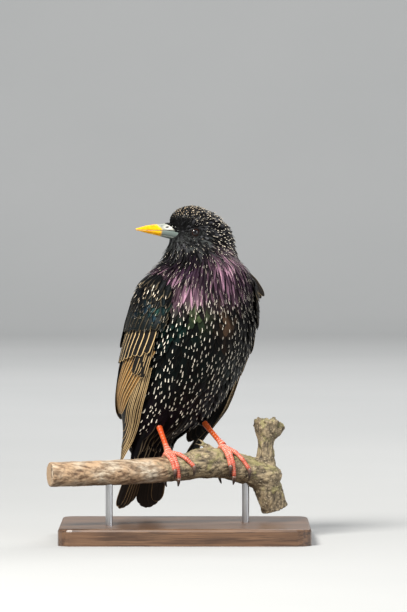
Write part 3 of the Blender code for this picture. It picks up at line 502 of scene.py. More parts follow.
def scatter(surface, spacing, allowed, draw, tries):
    # roots at least spacing apart, at random but evenly
    share = surface["areas"] / surface["areas"].sum()
    picked = draw.choice(len(share), size=tries, p=share)
    corners = surface["points"][surface["faces"][picked]]
    u, v = draw.random((2, tries, 1))
    top = corners[:, 0] * (1 - u) + corners[:, 1] * u
    bottom = corners[:, 3] * (1 - u) + corners[:, 2] * u
    points = top * (1 - v) + bottom * v
    points = points[allowed(points)]
    apart = spacing(points)
    cell = apart.max()
    steps = list(product((-1, 0, 1), repeat=3))
    taken, kept = {}, []
    for point, gap in zip(points.tolist(), apart.tolist()):
        x, y, z = (int(value // cell) for value in point)
        beside = (taken.get((x + dx, y + dy, z + dz), ()) for dx, dy, dz in steps)
        if all(math.dist(other, point) >= gap for group in beside for other in group):
            taken.setdefault((x, y, z), []).append(point)
            kept.append(point)
    return np.array(kept)


def walk(surface, roots, ways, lengths, shares, turn):
    # centre lines that follow the lie of the coat over the surface from each root
    count = len(roots)
    centres = np.zeros((count, len(shares), 3))
    normals = np.zeros_like(centres)
    for index in range(count):
        place, normal = drop(surface, roots[index])
        centres[index, 0], normals[index, 0] = place, normal
        cosine, sine = math.cos(turn[index]), math.sin(turn[index])
        for step in range(1, len(shares)):
            way = ways(place, normal)
            way = way * cosine + np.cross(normal, way) * sine
            place, normal = drop(surface, place + way * lengths[index] * (shares[step] - shares[step - 1]))
            centres[index, step], normals[index, step] = place, normal
    return centres, normals


# Feathers

vaneKinds = {
    # share of the length at each row, width there, and where the columns lie across
    "scale": {
        "shares": (0.0, 0.35, 0.65, 0.86, 1.0),
        "widths": (0.5, 1.0, 0.95, 0.62, 0.2),
        "columns": (-1, 0, 1),
    },
    "contour": {
        "shares": (0.0, 0.2, 0.42, 0.62, 0.78, 0.9, 1.0),
        "widths": (0.45, 0.85, 1.0, 0.97, 0.84, 0.6, 0.22),
        "columns": (-1, -0.5, 0, 0.5, 1),
    },
    "hackle": {
        "shares": (0.0, 0.2, 0.4, 0.6, 0.8, 0.92, 1.0),
        "widths": (0.6, 1.0, 0.95, 0.74, 0.48, 0.28, 0.08),
        "columns": (-1, -0.4, 0.4, 1),
    },
    "flight": {
        "shares": tuple(1 - (1 - step / 23) ** 1.35 for step in range(24)),
        "widths": None,
        "columns": (-1, -0.72, -0.4, -0.14, -0.03, 0.3, 0.62, 1),
    },
}


def vaneFaces(rows, columns):
    # one closed vane: an outer grid, and an inner one that shares its rim
    outer = np.arange(rows * columns).reshape(rows, columns)
    inner = outer.copy()
    inside = (rows - 2) * (columns - 2)
    inner[1:-1, 1:-1] = rows * columns + np.arange(inside).reshape(rows - 2, columns - 2)
    faces = []
    for row in range(rows - 1):
        for column in range(columns - 1):
            spots = ((row + 1, column), (row + 1, column + 1), (row, column + 1), (row, column))
            faces.append([outer[spot] for spot in spots])
            faces.append([inner[spot] for spot in spots[::-1]])
    return np.array(faces), rows * columns + inside


def vaneObject(
    name, kind, centres, normals, halfWidths, arch, thick, gloss, mark, bake, material, shaft=0.0, mirrored=False
):
    # centres and normals are rows of points for each feather, halfWidths one to each row, and bake is
    # the corner and size of its patch on the bake map; mirrored swaps its front and back edges
    shape = vaneKinds[kind]
    columns = np.array(shape["columns"], float)
    count, rows = centres.shape[:2]
    ways = unit(np.gradient(centres, axis=1))
    across = unit(np.cross(normals, ways))
    out = np.cross(ways, across)
    place = columns[None, None, :, None]
    wide = halfWidths[:, :, None, None]
    outer = centres[:, :, None] + across[:, :, None] * place * wide
    outer = outer - out[:, :, None] * arch * wide * place**2
    if shaft:
        outer = outer + out[:, :, None] * shaft * np.exp(-((place + 0.08) / 0.09) ** 2)
    inner = outer[:, 1:-1, 1:-1] - out[:, 1:-1, None] * thick
    points = np.concatenate([outer.reshape(count, -1, 3), inner.reshape(count, -1, 3)], axis=1)
    faces, each = vaneFaces(rows, len(columns))
    faces = (faces[None] + (np.arange(count) * each)[:, None, None]).reshape(-1, 4)
    item = meshFrom(name, points.reshape(-1, 3), faces, material)
    # each feather's own map, then its patch on the bake map
    shares = np.linspace(0, 1, rows) if shape["widths"] is None else np.array(shape["shares"])
    u, v = np.meshgrid(columns * 0.5 + 0.5, shares)
    own = np.stack([u, v], axis=-1)
    own = np.concatenate([own.reshape(-1, 2), own[1:-1, 1:-1].reshape(-1, 2)])
    vane = np.stack([1 - own[:, 0], own[:, 1]], axis=1) if mirrored else own
    setUv(item, "vane", np.tile(vane, (count, 1)))
    corner, size = bake
    patches = corner[:, None, :] + own[None] * size[:, None, :]
    setUv(item, "OFBake", patches.reshape(-1, 2))
    setColour(item, "gloss", np.repeat(gloss, each, axis=0))
    setColour(item, "mark", np.repeat(mark, each, axis=0))
    return item


print("helpers")

# The skin under the coat

skin = {"around": 120, "voxel": 0.8, "foot": 45.3, "top": 187.35}
legs = {
    "top": {"right": (-15.2, 2.1, 65.0), "left": (9.6, 16.4, 66.0)},
    "foot": {"right": -9.5, "left": 21.2},
    "thighLength": 9.0, "thighShow": 3.2, "thighRadii": (4.6, 2.2),
    "radius": 1.4, "voxel": 0.17,
}
perch = {
    "yaw": 20.0,
    # distance along the branch across the front view, height of its middle, radius
    "rows": (
        (-74.5, 38.6, 6.9), (-47.6, 38.8, 7.0), (-15.7, 39.9, 7.1), (1.7, 41.6, 7.6), (9.0, 43.0, 8.6),
        (16.8, 43.2, 8.3), (25.0, 41.6, 7.9), (34.2, 39.0, 8.2), (44.8, 35.2, 8.8), (52.0, 33.2, 6.0),
    ),
    # places across and up the front view
    "stubFoot": (44.8, 34.0), "stubTop": (45.6, 67.8), "spurFoot": (48.0, 59.0), "spurTip": (54.8, 63.8),
    "branchFoot": (44.0, 35.5), "branchEnd": (50.6, 16.4),
    # share of the stub's length, radius
    "stubRadii": ((0.0, 8.2), (0.28, 5.6), (0.5, 4.6), (0.68, 4.9), (0.84, 6.6), (1.0, 6.9)),
    "branchRadius": 7.3, "voxel": 0.55,
}
perchAt = curveThrough(perch["rows"])
perchWay = wayOf(perch["yaw"])


def tubeGrid(path, radii, count):
    # rings of points round a path
    path = np.asarray(path, float)
    ways = unit(np.gradient(path, axis=0))
    across = unit(np.cross(ways[0], (0.31, 0.17, 0.94)))
    rings = []
    turns = np.linspace(0, 2 * math.pi, count, endpoint=False)
    for point, way, radius in zip(path, ways, radii):
        across = unit(across - way * (across @ way))
        other = np.cross(way, across)
        rings.append(point + radius * (np.cos(turns)[:, None] * across + np.sin(turns)[:, None] * other))
    return np.array(rings)


def closedTube(grid):
    # points and faces of a grid of rings with its ends filled
    rows, columns = grid.shape[:2]
    faces = [tuple(face) for face in gridFaces(rows, columns)]
    ends = [tuple(range(columns - 1, -1, -1)), tuple((rows - 1) * columns + np.arange(columns))]
    return [tuple(point) for point in grid.reshape(-1, 3)], faces + ends


def fromBmesh(name, mesh, material):
    data = bpy.data.meshes.new(name)
    mesh.to_mesh(data)
    mesh.free()
    data.shade_smooth()
    data.materials.append(material)
    return placed(name, data)


def joined(name, shapes, material):
    # one object from several closed shapes that run into one another
    mesh = bmesh.new()
    for points, faces in shapes:
        vertices = [mesh.verts.new(Vector(point) * mm) for point in points]
        for face in faces:
            mesh.faces.new([vertices[index] for index in face])
    bmesh.ops.recalc_face_normals(mesh, faces=mesh.faces[:])
    return fromBmesh(name, mesh, material)


def fuse(item, voxel, smooth=0):
    # one closed surface over joined shapes
    change = item.modifiers.new("Fuse", "REMESH")
    change.mode = "VOXEL"
    change.voxel_size = voxel * mm
    if smooth:
        soften = item.modifiers.new("Soften", "SMOOTH")
        soften.factor = 0.5
        soften.iterations = smooth
    bpy.context.view_layer.update()
    made = bpy.data.meshes.new_from_object(item.evaluated_get(bpy.context.evaluated_depsgraph_get()))
    item.modifiers.clear()
    old = item.data
    item.data = made
    bpy.data.meshes.remove(old)
    made.shade_smooth()


def vertices(item):
    points = np.empty(len(item.data.vertices) * 3, np.float32)
    item.data.vertices.foreach_get("co", points)
    return points.reshape(-1, 3).astype(float) / mm


def vertexNormals(item):
    normals = np.empty(len(item.data.vertices) * 3, np.float32)
    item.data.vertices.foreach_get("normal", normals)
    return normals.reshape(-1, 3).astype(float)


def setVertices(item, points):
    item.data.vertices.foreach_set("co", (points * mm).astype(np.float32).ravel())
    item.data.update()


def perchAxis(along):
    # the branch's middle and radius, by the distance across the front view
    shape = perchAt(along)
    across = feet[1] + (np.asarray(along) - feet[0]) * perchWay[1] / perchWay[0]
    return np.stack([np.asarray(along, float), across, shape[..., 0]], axis=-1), shape[..., 1]


def perchPoint(along, degreesFromTop, grow=0.0):
    middle, radius = perchAxis(along)
    turn = np.radians(degreesFromTop)
    out = np.stack([np.sin(turn) * perchWay[1], -np.sin(turn) * perchWay[0], np.cos(turn)], axis=-1)
    return middle + (radius + grow) * out


def coatSurface():
    heights = np.concatenate([
        np.linspace(skin["top"], 187.0, 4)[:-1],
        187.0 - 17.0 * (1 - np.cos(np.linspace(0.02, math.pi / 2, 46))),
        np.linspace(169.5, skin["foot"], 100),
    ])
    turns = np.linspace(0, 2 * math.pi, skin["around"], endpoint=False)
    height, turn = np.meshgrid(heights, turns, indexing="ij")
    depth = depthAt(height)[..., 0]
    grid = bodyPoint(height, turn, -np.minimum(depth, 0.6 * ovalReach(0, headAt(height)[..., 2:])))
    grid[..., 2] -= depth * smoothShare(height, 174.0, 187.0)
    return grid


coatGrid = coatSurface()
coatSkin = makeSurface(coatGrid, coatGrid.mean(axis=(0, 1)))


def footMiddle(side):
    # where the toes part
    return perchPoint(legs["foot"][side] + 0.5, -6.0, 2.3)


def legWay(side):
    return unit(footMiddle(side) - np.array(legs["top"][side]))


def thighPath(side):
    top, way = np.array(legs["top"][side]), legWay(side)
    shares = np.linspace(0, 1, 10)[:, None]
    return top + way * (-(legs["thighLength"] - legs["thighShow"]) + legs["thighLength"] * shares)


def unwrap(points):
    # an unwrap of the body's own shape: angle round its axis, and height with the crown stretched out
    gap = points[:, :2] - bodyAxis(points[:, 2])[0]
    turn = np.arctan2(gap[:, 1], gap[:, 0]) / (2 * math.pi) + 0.5
    crown = smoothShare(points[:, 2], 176.0, 188.0) * np.clip(1 - np.linalg.norm(gap, axis=1) / 18.0, 0, 1)
    return np.stack([0.02 + 0.96 * turn, 0.03 + 0.72 * (points[:, 2] - 45.0) / 143.0 + 0.2 * crown], axis=1)


coatFinish = coatMaterial()
flightFinish = flightMaterial()

black, blackMetal = (0.0028, 0.0028, 0.0031), 0.3
glossTones = {
    # tone, and how metallic it is
    "head": ((0.0040, 0.0042, 0.0042), 0.1), "cheek": ((0.060, 0.066, 0.063), 0.15),
    # the next tone is a painted highlight, a pale grey for a few head feathers
    "paintedGlint": ((0.055, 0.055, 0.060), 0.2),
    # the lilac tone is a painted highlight; the other hues here are laid on in patches as painted sheen
    "purple": ((0.034, 0.012, 0.034), 0.5), "lilacHighlight": ((0.62, 0.34, 0.46), 0.45),
    "teal": ((0.010, 0.044, 0.036), 0.75), "blue": ((0.008, 0.024, 0.040), 0.7),
    "olive": ((0.060, 0.085, 0.035), 0.6), "bronze": ((0.095, 0.056, 0.034), 0.6),
}
# painted sheen: where each gloss tone is laid on, as patches on the front of the neck and breast where light
# catches the feathers' own hues: tone, across the front view, height, reach across and up, strength
paintedSheenPatches = (
    ("purple", -1.0, 149.0, 12.0, 9.0, 0.75), ("purple", 23.0, 151.0, 11.0, 10.0, 0.65),
    ("lilacHighlight", -5.0, 147.0, 8.0, 5.0, 0.8), ("lilacHighlight", 6.0, 142.5, 7.0, 5.5, 0.75),
    ("lilacHighlight", 22.0, 156.0, 7.0, 5.5, 0.5), ("lilacHighlight", 25.0, 146.5, 6.0, 5.0, 0.35),
    ("teal", -11.0, 128.0, 12.0, 9.0, 0.55), ("blue", -22.0, 127.0, 11.0, 12.0, 0.6),
    ("olive", 8.0, 134.5, 7.0, 6.5, 0.95), ("bronze", 21.5, 128.0, 4.5, 10.0, 0.75),
    ("teal", 2.0, 124.0, 9.0, 6.0, 0.25),
)


def aroundHead(points):
    # degrees from the bill
    gap = points[:, :2] - headMiddle
    return np.degrees(np.arctan2(gap @ headSide, gap @ billWay))


def glossAt(points, draw, without=()):
    # colour and metal share of the dark part of each feather by its place, with painted sheen and painted
    # highlights laid on by place, without the tones named
    x, y, z = points.T
    count = len(points)
    # painted sheen is laid only on the side that faces the front
    front = smoothShare(-(y + 8.0), -8.0, 14.0)
    tones = np.tile(np.array(black), (count, 1))
    metal = np.full(count, blackMetal)

    def mixIn(share, tone, shine):
        nonlocal tones, metal
        share = np.clip(share, 0, 1)
        tones = tones * (1 - share[:, None]) + np.array(tone) * share[:, None]
        metal = metal * (1 - share) + shine * share

    mixIn(smoothShare(z, 160.0, 168.0), *glossTones["head"])
    cheek = bump(z, 166.0, 5.0) * (np.abs(aroundHead(points)) < 90)
    mixIn(cheek * draw.random(count) ** 2, *glossTones["cheek"])
    # painted highlight: a few face and crown feathers catch the light, as a pale grey tone
    lit = 0.8 * smoothShare(z, 158.0, 166.0) * (draw.random(count) > 0.72)
    mixIn(lit * draw.random(count), *glossTones["paintedGlint"])
    # painted sheen and lilac painted highlights, in patches
    for name, across, height, wide, tall, strength in paintedSheenPatches:
        if name not in without:
            uneven = 0.05 + 1.5 * draw.random(count) ** 1.4
            mixIn(front * bump(x, across, wide) * bump(z, height, tall) * strength * uneven, *glossTones[name])
    # dark feathers lie between the bright ones with painted sheen
    mixIn(0.85 * (draw.random(count) > 0.74), black, blackMetal)
    mixIn(0.15 * bump(z, 100.0, 14.0) * draw.random(count), *glossTones["teal"])
    mixIn(0.18 * bump(z, 78.0, 18.0) * draw.random(count), *glossTones["purple"])
    tones = tones * (1 + 0.35 * (draw.random((count, 1)) - 0.5))
    return np.concatenate([tones, metal[:, None]], axis=1)


def bareSkin(item, points, gloss):
    # what the coat's material reads, where there are no feathers
    setColour(item, "gloss", gloss)
    setColour(item, "mark", np.zeros((len(points), 4)))
    setUv(item, "vane", np.tile((0.5, 0.3), (len(points), 1)))
    setUv(item, "OFBake", unwrap(points))


shapes = [closedTube(coatGrid)]
for side in sides:
    radii = np.interp(np.linspace(0, 1, 10), (0, 1), legs["thighRadii"])
    shapes.append(closedTube(tubeGrid(thighPath(side), radii, 20)))
bodySkin = joined("bodySkin", shapes, coatFinish)
fuse(bodySkin, skin["voxel"], 2)
skinPoints = vertices(bodySkin)
bareSkin(bodySkin, skinPoints, glossAt(skinPoints, np.random.default_rng(5)))
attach(bodySkin, "root")
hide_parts("head", "neck", "torso", "thigh_left", "thigh_right")
print("skin", len(skinPoints))

# The coat

eyes = {"radius": 2.9, "along": 6.3, "out": 11.0, "height": 172.4, "bare": 3.3, "bulge": 0.16}
billFoot = billPoint(12.0, 0.0, 171.8)


def eyeMiddle(side):
    return billPoint(eyes["along"], signs[side] * (eyes["out"] - eyes["radius"]), eyes["height"])


def eyeFace(side):
    return billPoint(eyes["along"], signs[side] * eyes["out"], eyes["height"])


def lieOfCoat(place, normal):
    # back from the bill over the head, and then down the body towards the tail
    height = min(max(place[2], 50.0), 158.0)
    here, below = bodyAt(height - 1.5), bodyAt(height + 1.5)
    drift = levelPoint(here[0] - below[0], here[1] - below[1]) - feet
    down = unit(np.array([drift[0], drift[1], -3.0]))
    share = float(smoothShare(place[2], 150.0, 170.0))
    way = down * (1 - share) + unit(place - billFoot) * share
    way = way - normal * (way @ normal)
    return unit(way)


def clearOfFace(points):
    gap = points - billPoint(10.5, 0.0, 171.9)
    along = gap[:, :2] @ billWay
    side = np.abs(gap[:, :2] @ headSide)
    bill = (along > 0) & (side < 6.6 - 0.25 * along) & (np.abs(gap[:, 2]) < 5.2)
    clear = ~bill
    for name in sides:
        clear &= np.linalg.norm(points - eyeFace(name), axis=1) > eyes["bare"]
    return clear


def aroundBody(points):
    # degrees from the breast, to the bird's right
    gap = points[:, :2] - levelMiddle(bodyAt(points[:, 2]))
    turn = forwardAngle - np.arctan2(gap[:, 1], gap[:, 0])
    return np.degrees((turn + math.pi) % (2 * math.pi) - math.pi)


def distanceFromBill(points):
    return np.linalg.norm(points - billFoot, axis=1)


def growCoat(
    name, kind, surface, roots, lengths, halfWidths, lifts, mark, seed,
    lean=7.0, arch=0.2, thick=0.12, ways=lieOfCoat, without=(),
):
    # lifts are how far the roots and the tips stand off the skin, lean how unevenly the feathers lie
    draw = np.random.default_rng(seed)
    shape = vaneKinds[kind]
    shares = np.array(shape["shares"])
    turn = np.radians(draw.normal(0, lean, len(roots)))
    centres, normals = walk(surface, roots, ways, lengths, shares, turn)
    rise = lifts[0] + (lifts[1] - lifts[0])[:, None] * shares**1.2
    rise = rise + draw.normal(0, 0.05, len(roots))[:, None]
    centres = centres + normals * rise[..., None]
    wide = halfWidths[:, None] * np.array(shape["widths"])
    wide = wide * (1 + draw.normal(0, 0.05, (len(roots), len(shares))))
    gloss = glossAt(roots, draw, without)
    bake = (unwrap(roots), np.full((len(roots), 2), 0.0032))
    item = vaneObject(name, kind, centres, normals, wide, arch, thick, gloss, mark, bake, coatFinish)
    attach(item, "root")


def marks(*values):
    # one row of four shares for each feather
    return np.stack(np.broadcast_arrays(*values), axis=1)


# The head's small feathers: bare dark lores, spotted crown and nape, streaked cheeks
headCoat = {
    "above": 162.5, "tries": 90000,
    # by the distance from the bill
    "spacing": ((4.0, 10.0, 22.0, 32.0), (0.6, 0.8, 1.12, 1.3)),
    "lengths": ((4.0, 9.0, 16.0, 30.0), (1.5, 2.4, 3.6, 5.2)),
    "halfWidths": ((4.0, 10.0, 18.0, 30.0), (0.42, 0.55, 0.8, 1.0)),
    "rise": ((4.0, 12.0, 30.0), (0.35, 0.6, 1.0)),
    "crown": (177.5, 181.5),  # heights
    "nape": (95.0, 115.0),  # degrees from the bill
}
draw = np.random.default_rng(21)
roots = scatter(
    coatSkin, lambda p: np.interp(distanceFromBill(p), *headCoat["spacing"]),
    lambda p: (p[:, 2] > headCoat["above"]) & clearOfFace(p), draw, headCoat["tries"],
)
away = distanceFromBill(roots)
count = len(roots)
lengths = np.interp(away, *headCoat["lengths"])
halfWidths = np.interp(away, *headCoat["halfWidths"])
nearEye = np.min([np.linalg.norm(roots - eyeFace(side), axis=1) for side in sides], axis=0)
lengths = np.minimum(lengths, np.maximum(1.2, 0.75 * (nearEye - 1.6)))
crown = smoothShare(roots[:, 2], *headCoat["crown"])
behind = smoothShare(np.abs(aroundHead(roots)), *headCoat["nape"])
dotted = np.maximum(crown * smoothShare(away, 6.0, 9.0), behind * smoothShare(away, 9.0, 14.0))
dotted = dotted * (nearEye > 4.0)
cheek = (1 - dotted) * smoothShare(away, 8.0, 12.0) * (nearEye > 3.6)
tipLength = draw.uniform(0.16, 0.27, count) + 0.16 * cheek
tipWidth = draw.uniform(0.45, 0.8, count) * dotted * (draw.random(count) > 0.15)
tipWidth = tipWidth + draw.uniform(0.0, 0.4, count) * cheek * (draw.random(count) > 0.5)
buff = 0.1 + 0.2 * draw.random(count) + 0.4 * bump(away, 11.0, 6.0) * crown
mark = marks(tipLength, tipWidth, 0.08 * crown * smoothShare(18 - away, 0, 5), buff)
rise = np.interp(away, *headCoat["rise"]) + 0.3 * draw.random(count) + 1.3 * behind * draw.random(count) ** 3
growCoat("headCoat", "scale", coatSkin, roots, lengths, halfWidths, (0.05, rise), mark, 31, arch=0.3, thick=0.08)
print("head feathers", count)

# Small feathers that run forward over the root of the bill
loreFeathers = {
    "along": (9.5, 23.0), "spacing": 0.4, "tries": 12000, "length": (1.3, 2.1), "halfWidth": (0.24, 0.36),
    "rise": (0.25, 0.55),
    # their front edge runs back and down: distance along the bill at a height, and its slope
    "edge": (11.6, 170.1, 1.09),
}
draw = np.random.default_rng(24)
billAt = curveThrough(billRows)
along = np.linspace(*loreFeathers["along"], 40)[:, None]
turns = np.linspace(0, math.pi, 30)
half, top, split, _ = np.moveaxis(billAt(along), -1, 0)
lore = billPoint(along, half * np.cos(turns), split + (top - split) * np.sin(turns) ** 0.85)
loreSkin = makeSurface(lore, billPoint(14.0, 0.0, 170.0), closed=False)


def underLores(points):
    reach, height, slope = loreFeathers["edge"]
    return (points[:, :2] - headMiddle) @ billWay < reach + slope * (points[:, 2] - height)


def towardsTip(place, normal):
    way = billPoint(40.0, 0.0, 173.0) - place
    return unit(way - normal * (way @ normal))


roots = scatter(
    loreSkin, lambda p: np.full(len(p), loreFeathers["spacing"]), underLores, draw, loreFeathers["tries"],
)
count = len(roots)
rise = draw.uniform(*loreFeathers["rise"], count)
lengths = draw.uniform(*loreFeathers["length"], count)
halfWidths = draw.uniform(*loreFeathers["halfWidth"], count)
growCoat(
    "loreFeathers", "scale", loreSkin, roots, lengths, halfWidths, (0.04, rise),
    marks(np.full(count, 0.2), 0.0, 0.0, 0.0), 34, arch=0.3, thick=0.06, lean=16.0, ways=towardsTip,
)
print("lores", count)

# Hackles down the throat, neck and nape
hackles = {
    "between": (139.0, 166.0), "tries": 30000,
    # by height
    "spacing": ((140.0, 152.0, 164.0), (1.8, 1.4, 1.15)),
    "lengths": ((139.0, 150.0, 160.0, 166.0), (14.0, 13.0, 9.0, 6.0)),
    "halfWidths": ((139.0, 150.0, 166.0), (1.2, 0.92, 0.75)),
    "rise": ((139.0, 155.0, 166.0), (1.9, 1.7, 1.0)),
    "nape": (72.0, 105.0),  # degrees from the breast
}


def heightBetween(low, high):
    return lambda points: (points[:, 2] > low) & (points[:, 2] < high)


def byHeight(table):
    return lambda points: np.interp(points[:, 2], *table)


draw = np.random.default_rng(22)
onNeck = heightBetween(*hackles["between"])
roots = scatter(
    coatSkin, byHeight(hackles["spacing"]), lambda p: onNeck(p) & clearOfFace(p), draw, hackles["tries"],
)
count = len(roots)
nape = smoothShare(np.abs(aroundBody(roots)), *hackles["nape"])
lengths = byHeight(hackles["lengths"])(roots) * draw.uniform(0.85, 1.12, count)
mark = marks(
    draw.uniform(0.16, 0.32, count), draw.uniform(0.2, 0.42, count) * (draw.random(count) > 0.3),
    0.0, draw.uniform(0.0, 0.3, count),
)
rise = byHeight(hackles["rise"])(roots) + draw.uniform(0, 0.5, count) + nape * draw.uniform(0.6, 2.0, count)
halfWidths = byHeight(hackles["halfWidths"])(roots)
growCoat("hackles", "hackle", coatSkin, roots, lengths, halfWidths, (0.1, rise), mark, 32, lean=5.0, arch=0.35)
print("hackles", count)

# Breast, belly, flanks and back
bodyCoat = {
    "between": (49.0, 144.0), "tries": 60000,
    # by height
    "spacing": ((50.0, 70.0, 100.0, 140.0), (2.75, 2.8, 2.5, 2.3)),
    "lengths": ((50.0, 70.0, 120.0, 144.0), (9.5, 11.5, 10.5, 10.0)),
    "halfWidths": ((50.0, 75.0, 120.0, 144.0), (2.4, 2.9, 2.4, 2.0)),
    # the flanks are fuller: degrees from the breast and heights where that starts and ends
    "flank": ((34.0, 50.0), (62.0, 74.0)), "flankHeights": ((66.0, 80.0), (132.0, 142.0)), "flankRise": 2.2,
}
draw = np.random.default_rng(23)
onBody = heightBetween(*bodyCoat["between"])
roots = scatter(coatSkin, byHeight(bodyCoat["spacing"]), onBody, draw, bodyCoat["tries"])
count = len(roots)
height = roots[:, 2]
turn = aroundBody(roots)
lengths = byHeight(bodyCoat["lengths"])(roots) * draw.uniform(0.85, 1.12, count)
flank = np.maximum(bandShare(turn, *bodyCoat["flank"]), bandShare(-turn, *bodyCoat["flank"]))
flank = flank * bandShare(height, *bodyCoat["flankHeights"])
spotted = draw.random(count) > 0.07
mark = marks(
    draw.uniform(0.15, 0.26, count),
    (draw.uniform(0.16, 0.30, count) + 0.08 * (1 - smoothShare(height, 85.0, 120.0))) * spotted,
    0.02, draw.uniform(0.0, 0.15, count) + 0.75 * smoothShare(-turn, 50.0, 75.0),
)
rise = draw.uniform(1.5, 2.0, count) + bodyCoat["flankRise"] * flank
halfWidths = byHeight(bodyCoat["halfWidths"])(roots)
growCoat("bodyCoat", "contour", coatSkin, roots, lengths, halfWidths, (0.15, rise), mark, 33)
print("body feathers", count)

# Wings: a core under rows of feathers, from the deepest row out. "root" is the height of the roots and
# "tips" the heights of the first and last tip. "front" is (height, degrees from the breast) along the first
# feather, and "pitch" the degrees from one feather to the next at root and tip. "depths" are how far under
# the wing's outside the first and last feather lie, and "edge" is the pale edge's width and strength.
wingFeathers = {
    "innerPrimaries": {
        "count": 6, "root": 98.0, "tips": (62.0, 52.0), "pitch": (3.0, 5.0), "halfWidth": 4.2,
        "front": ((98, 78), (84, 80), (72, 82), (62, 86), (52, 82), (47, 82)),
        "depths": (2.0, 1.6), "blunt": 0.2, "edge": (0.05, 0.08), "golden": 0.0, "tone": "dark",
    },
    "primaries": {
        "count": 9, "root": 98.0, "tips": (29.5, 64.0), "pitch": (1.4, 2.5), "halfWidth": 2.9,
        "front": (
            (98, 66), (90, 67), (84, 68.5), (76, 71.5), (68, 75), (60, 80), (56, 83), (46, 92), (38, 98), (29, 103),
        ),
        "depths": (1.1, 0.5), "blunt": 0.3, "edge": (0.075, 1.0), "golden": 0.12, "tone": "dark",
    },
    "secondaries": {
        "count": 9, "root": 108.0, "tips": (71.0, 69.5), "pitch": (4.0, 2.9), "halfWidth": 3.6,
        "front": ((108, 66), (102, 70.5), (90, 79), (80, 87), (69, 97)),
        "depths": (0.7, 0.3), "blunt": 0.6, "edge": (0.06, 0.7), "golden": 1.0, "tone": "dark",
    },
    "tertials": {
        "count": 3, "root": 112.0, "tips": (68.0, 78.0), "pitch": (14.0, 14.0), "halfWidth": 6.0,
        "front": ((112, 112), (68, 119)),
        "depths": (0.2, -0.3), "blunt": 0.7, "edge": (0.05, 0.8), "golden": 0.3, "tone": "brown",
    },
    "primaryCoverts": {
        "count": 6, "root": 112.0, "tips": (91.0, 94.0), "pitch": (2.0, 2.2), "halfWidth": 1.8,
        "front": ((112, 66), (91, 67.5)),
        "depths": (0.6, 0.2), "blunt": 0.3, "edge": (0.12, 0.7), "golden": 0.2, "tone": "dark",
    },
    "greaterCoverts": {
        "count": 13, "root": 122.0, "tips": (105.0, 96.0), "pitch": (5.6, 5.5), "halfWidth": 2.6,
        "front": ((122, 66), (104, 70), (96, 74)),
        "depths": (-0.1, -0.3), "blunt": 0.9, "edge": (0.1, 1.0), "golden": 0.0, "tone": "dark",
    },
    "medianCoverts": {
        "count": 13, "root": 133.0, "tips": (118.5, 116.0), "pitch": (5.8, 6.0), "halfWidth": 2.8,
        "front": ((133, 62), (116, 67)),
        "depths": (-0.5, -0.7), "blunt": 0.95, "edge": (0.07, 0.14), "golden": 0.0, "tone": "gloss",
    },
    "scapulars": {
        "count": 6, "root": 143.0, "tips": (108.0, 114.0), "pitch": (6.8, 6.4), "halfWidth": 5.0,
        "front": ((143, 116), (108, 124)),
        "depths": (-1.0, -1.2), "blunt": 0.8, "edge": (0.06, 0.6), "golden": 0.0, "tone": "gloss",
    },
}
webTones = {
    "dark": (0.006, 0.005, 0.004, 0.15), "brown": (0.016, 0.011, 0.007, 0.1), "gloss": (0.004, 0.008, 0.009, 0.4),
}
coreGloss = (0.012, 0.012, 0.012, 0.1)
flightShares = np.array(vaneKinds["flight"]["shares"])


def flightWidths(shares, blunt):
    # even width, then a rounded or pointed tip
    tip = 0.16 + 0.12 * (1 - blunt)
    into = np.clip((shares - (1 - tip)) / tip, 0, 1)
    return np.interp(shares, (0, 0.3, 1), (0.75, 1.0, 1.0)) * np.sqrt(np.maximum(1 - into ** (1.6 + blunt), 0.004))


def pushOut(points, heights, angles, clear):
    # keeps a wing feather outside the body
    least = bodyPoint(heights, angles, clear)
    middle = levelMiddle(bodyAt(heights))
    reach, leastReach = (np.linalg.norm(place[..., :2] - middle, axis=-1) for place in (points, least))
    return np.where(((reach < leastReach) & (heights > 54.0))[..., None], least, points)


def bakeStrips(index0, count):
    # each feather of a wing has its own strip of the bake map
    return np.stack([(index0 + np.arange(count)) / 64.0 + 0.002, np.full(count, 0.02)], axis=1)


def wingSet(side, row, index0):
    # centre lines, normals, half widths, gloss, mark and bake patches of one row of feathers
    shares = flightShares
    draw = np.random.default_rng(60 + index0)
    count = row["count"]
    along = np.linspace(0, 1, count)[:, None]
    tips = between(row["tips"], along) + draw.normal(0, 0.5, (count, 1))
    heights = row["root"] * (1 - shares[None]) + tips * shares[None]
    lower = (row["root"] - heights) / (row["root"] - min(row["tips"]))
    degrees = curveThrough(row["front"])(heights)[..., 0] + between(row["pitch"], lower) * np.arange(count)[:, None]
    degrees = degrees + draw.normal(0, 0.25, (count, 1))
    under = -between(row["depths"], along) - 1.5 * (1 - shares[None]) ** 2
    under = under + 0.12 * np.sin(shares[None] * 9 + along * 7)
    centres = pushOut(wingPoint(side, heights, degrees, under), heights, sideAngle(side, degrees), 1.0)
    level = wingPoint(side, heights, degrees + 1.0) - wingPoint(side, heights, degrees - 1.0)
    fall = wingPoint(side, heights - 1.0, degrees) - wingPoint(side, heights + 1.0, degrees)
    normals = unit(np.cross(level, fall) if side == "left" else np.cross(fall, level))
    outward = centres[..., :2] - levelMiddle(wingAt(heights))
    normals = normals * np.sign((normals[..., :2] * outward).sum(axis=-1))[..., None]
    # each feather's front edge lies over the one before it
    across = unit(np.cross(normals, unit(np.gradient(centres, axis=1))))
    normals = unit(normals - signs[side] * across * math.tan(math.radians(7.0)))
    wide = row["halfWidth"] * flightWidths(shares, row["blunt"])[None] * (1 + draw.normal(0, 0.03, (count, 1)))
    gloss = np.tile(webTones[row["tone"]], (count, 1)) * (1 + draw.normal(0, 0.1, (count, 1)))
    mark = np.tile((*row["edge"], row["golden"], 0.9), (count, 1)) * (1 + draw.normal(0, 0.06, (count, 4)))
    corner = bakeStrips(index0, count)
    size = np.tile((0.011, 0.9), (count, 1))
    if side == "left":
        corner[:, 0] += size[:, 0]
        size[:, 0] *= -1
    return centres, normals, wide, gloss, mark, corner, size


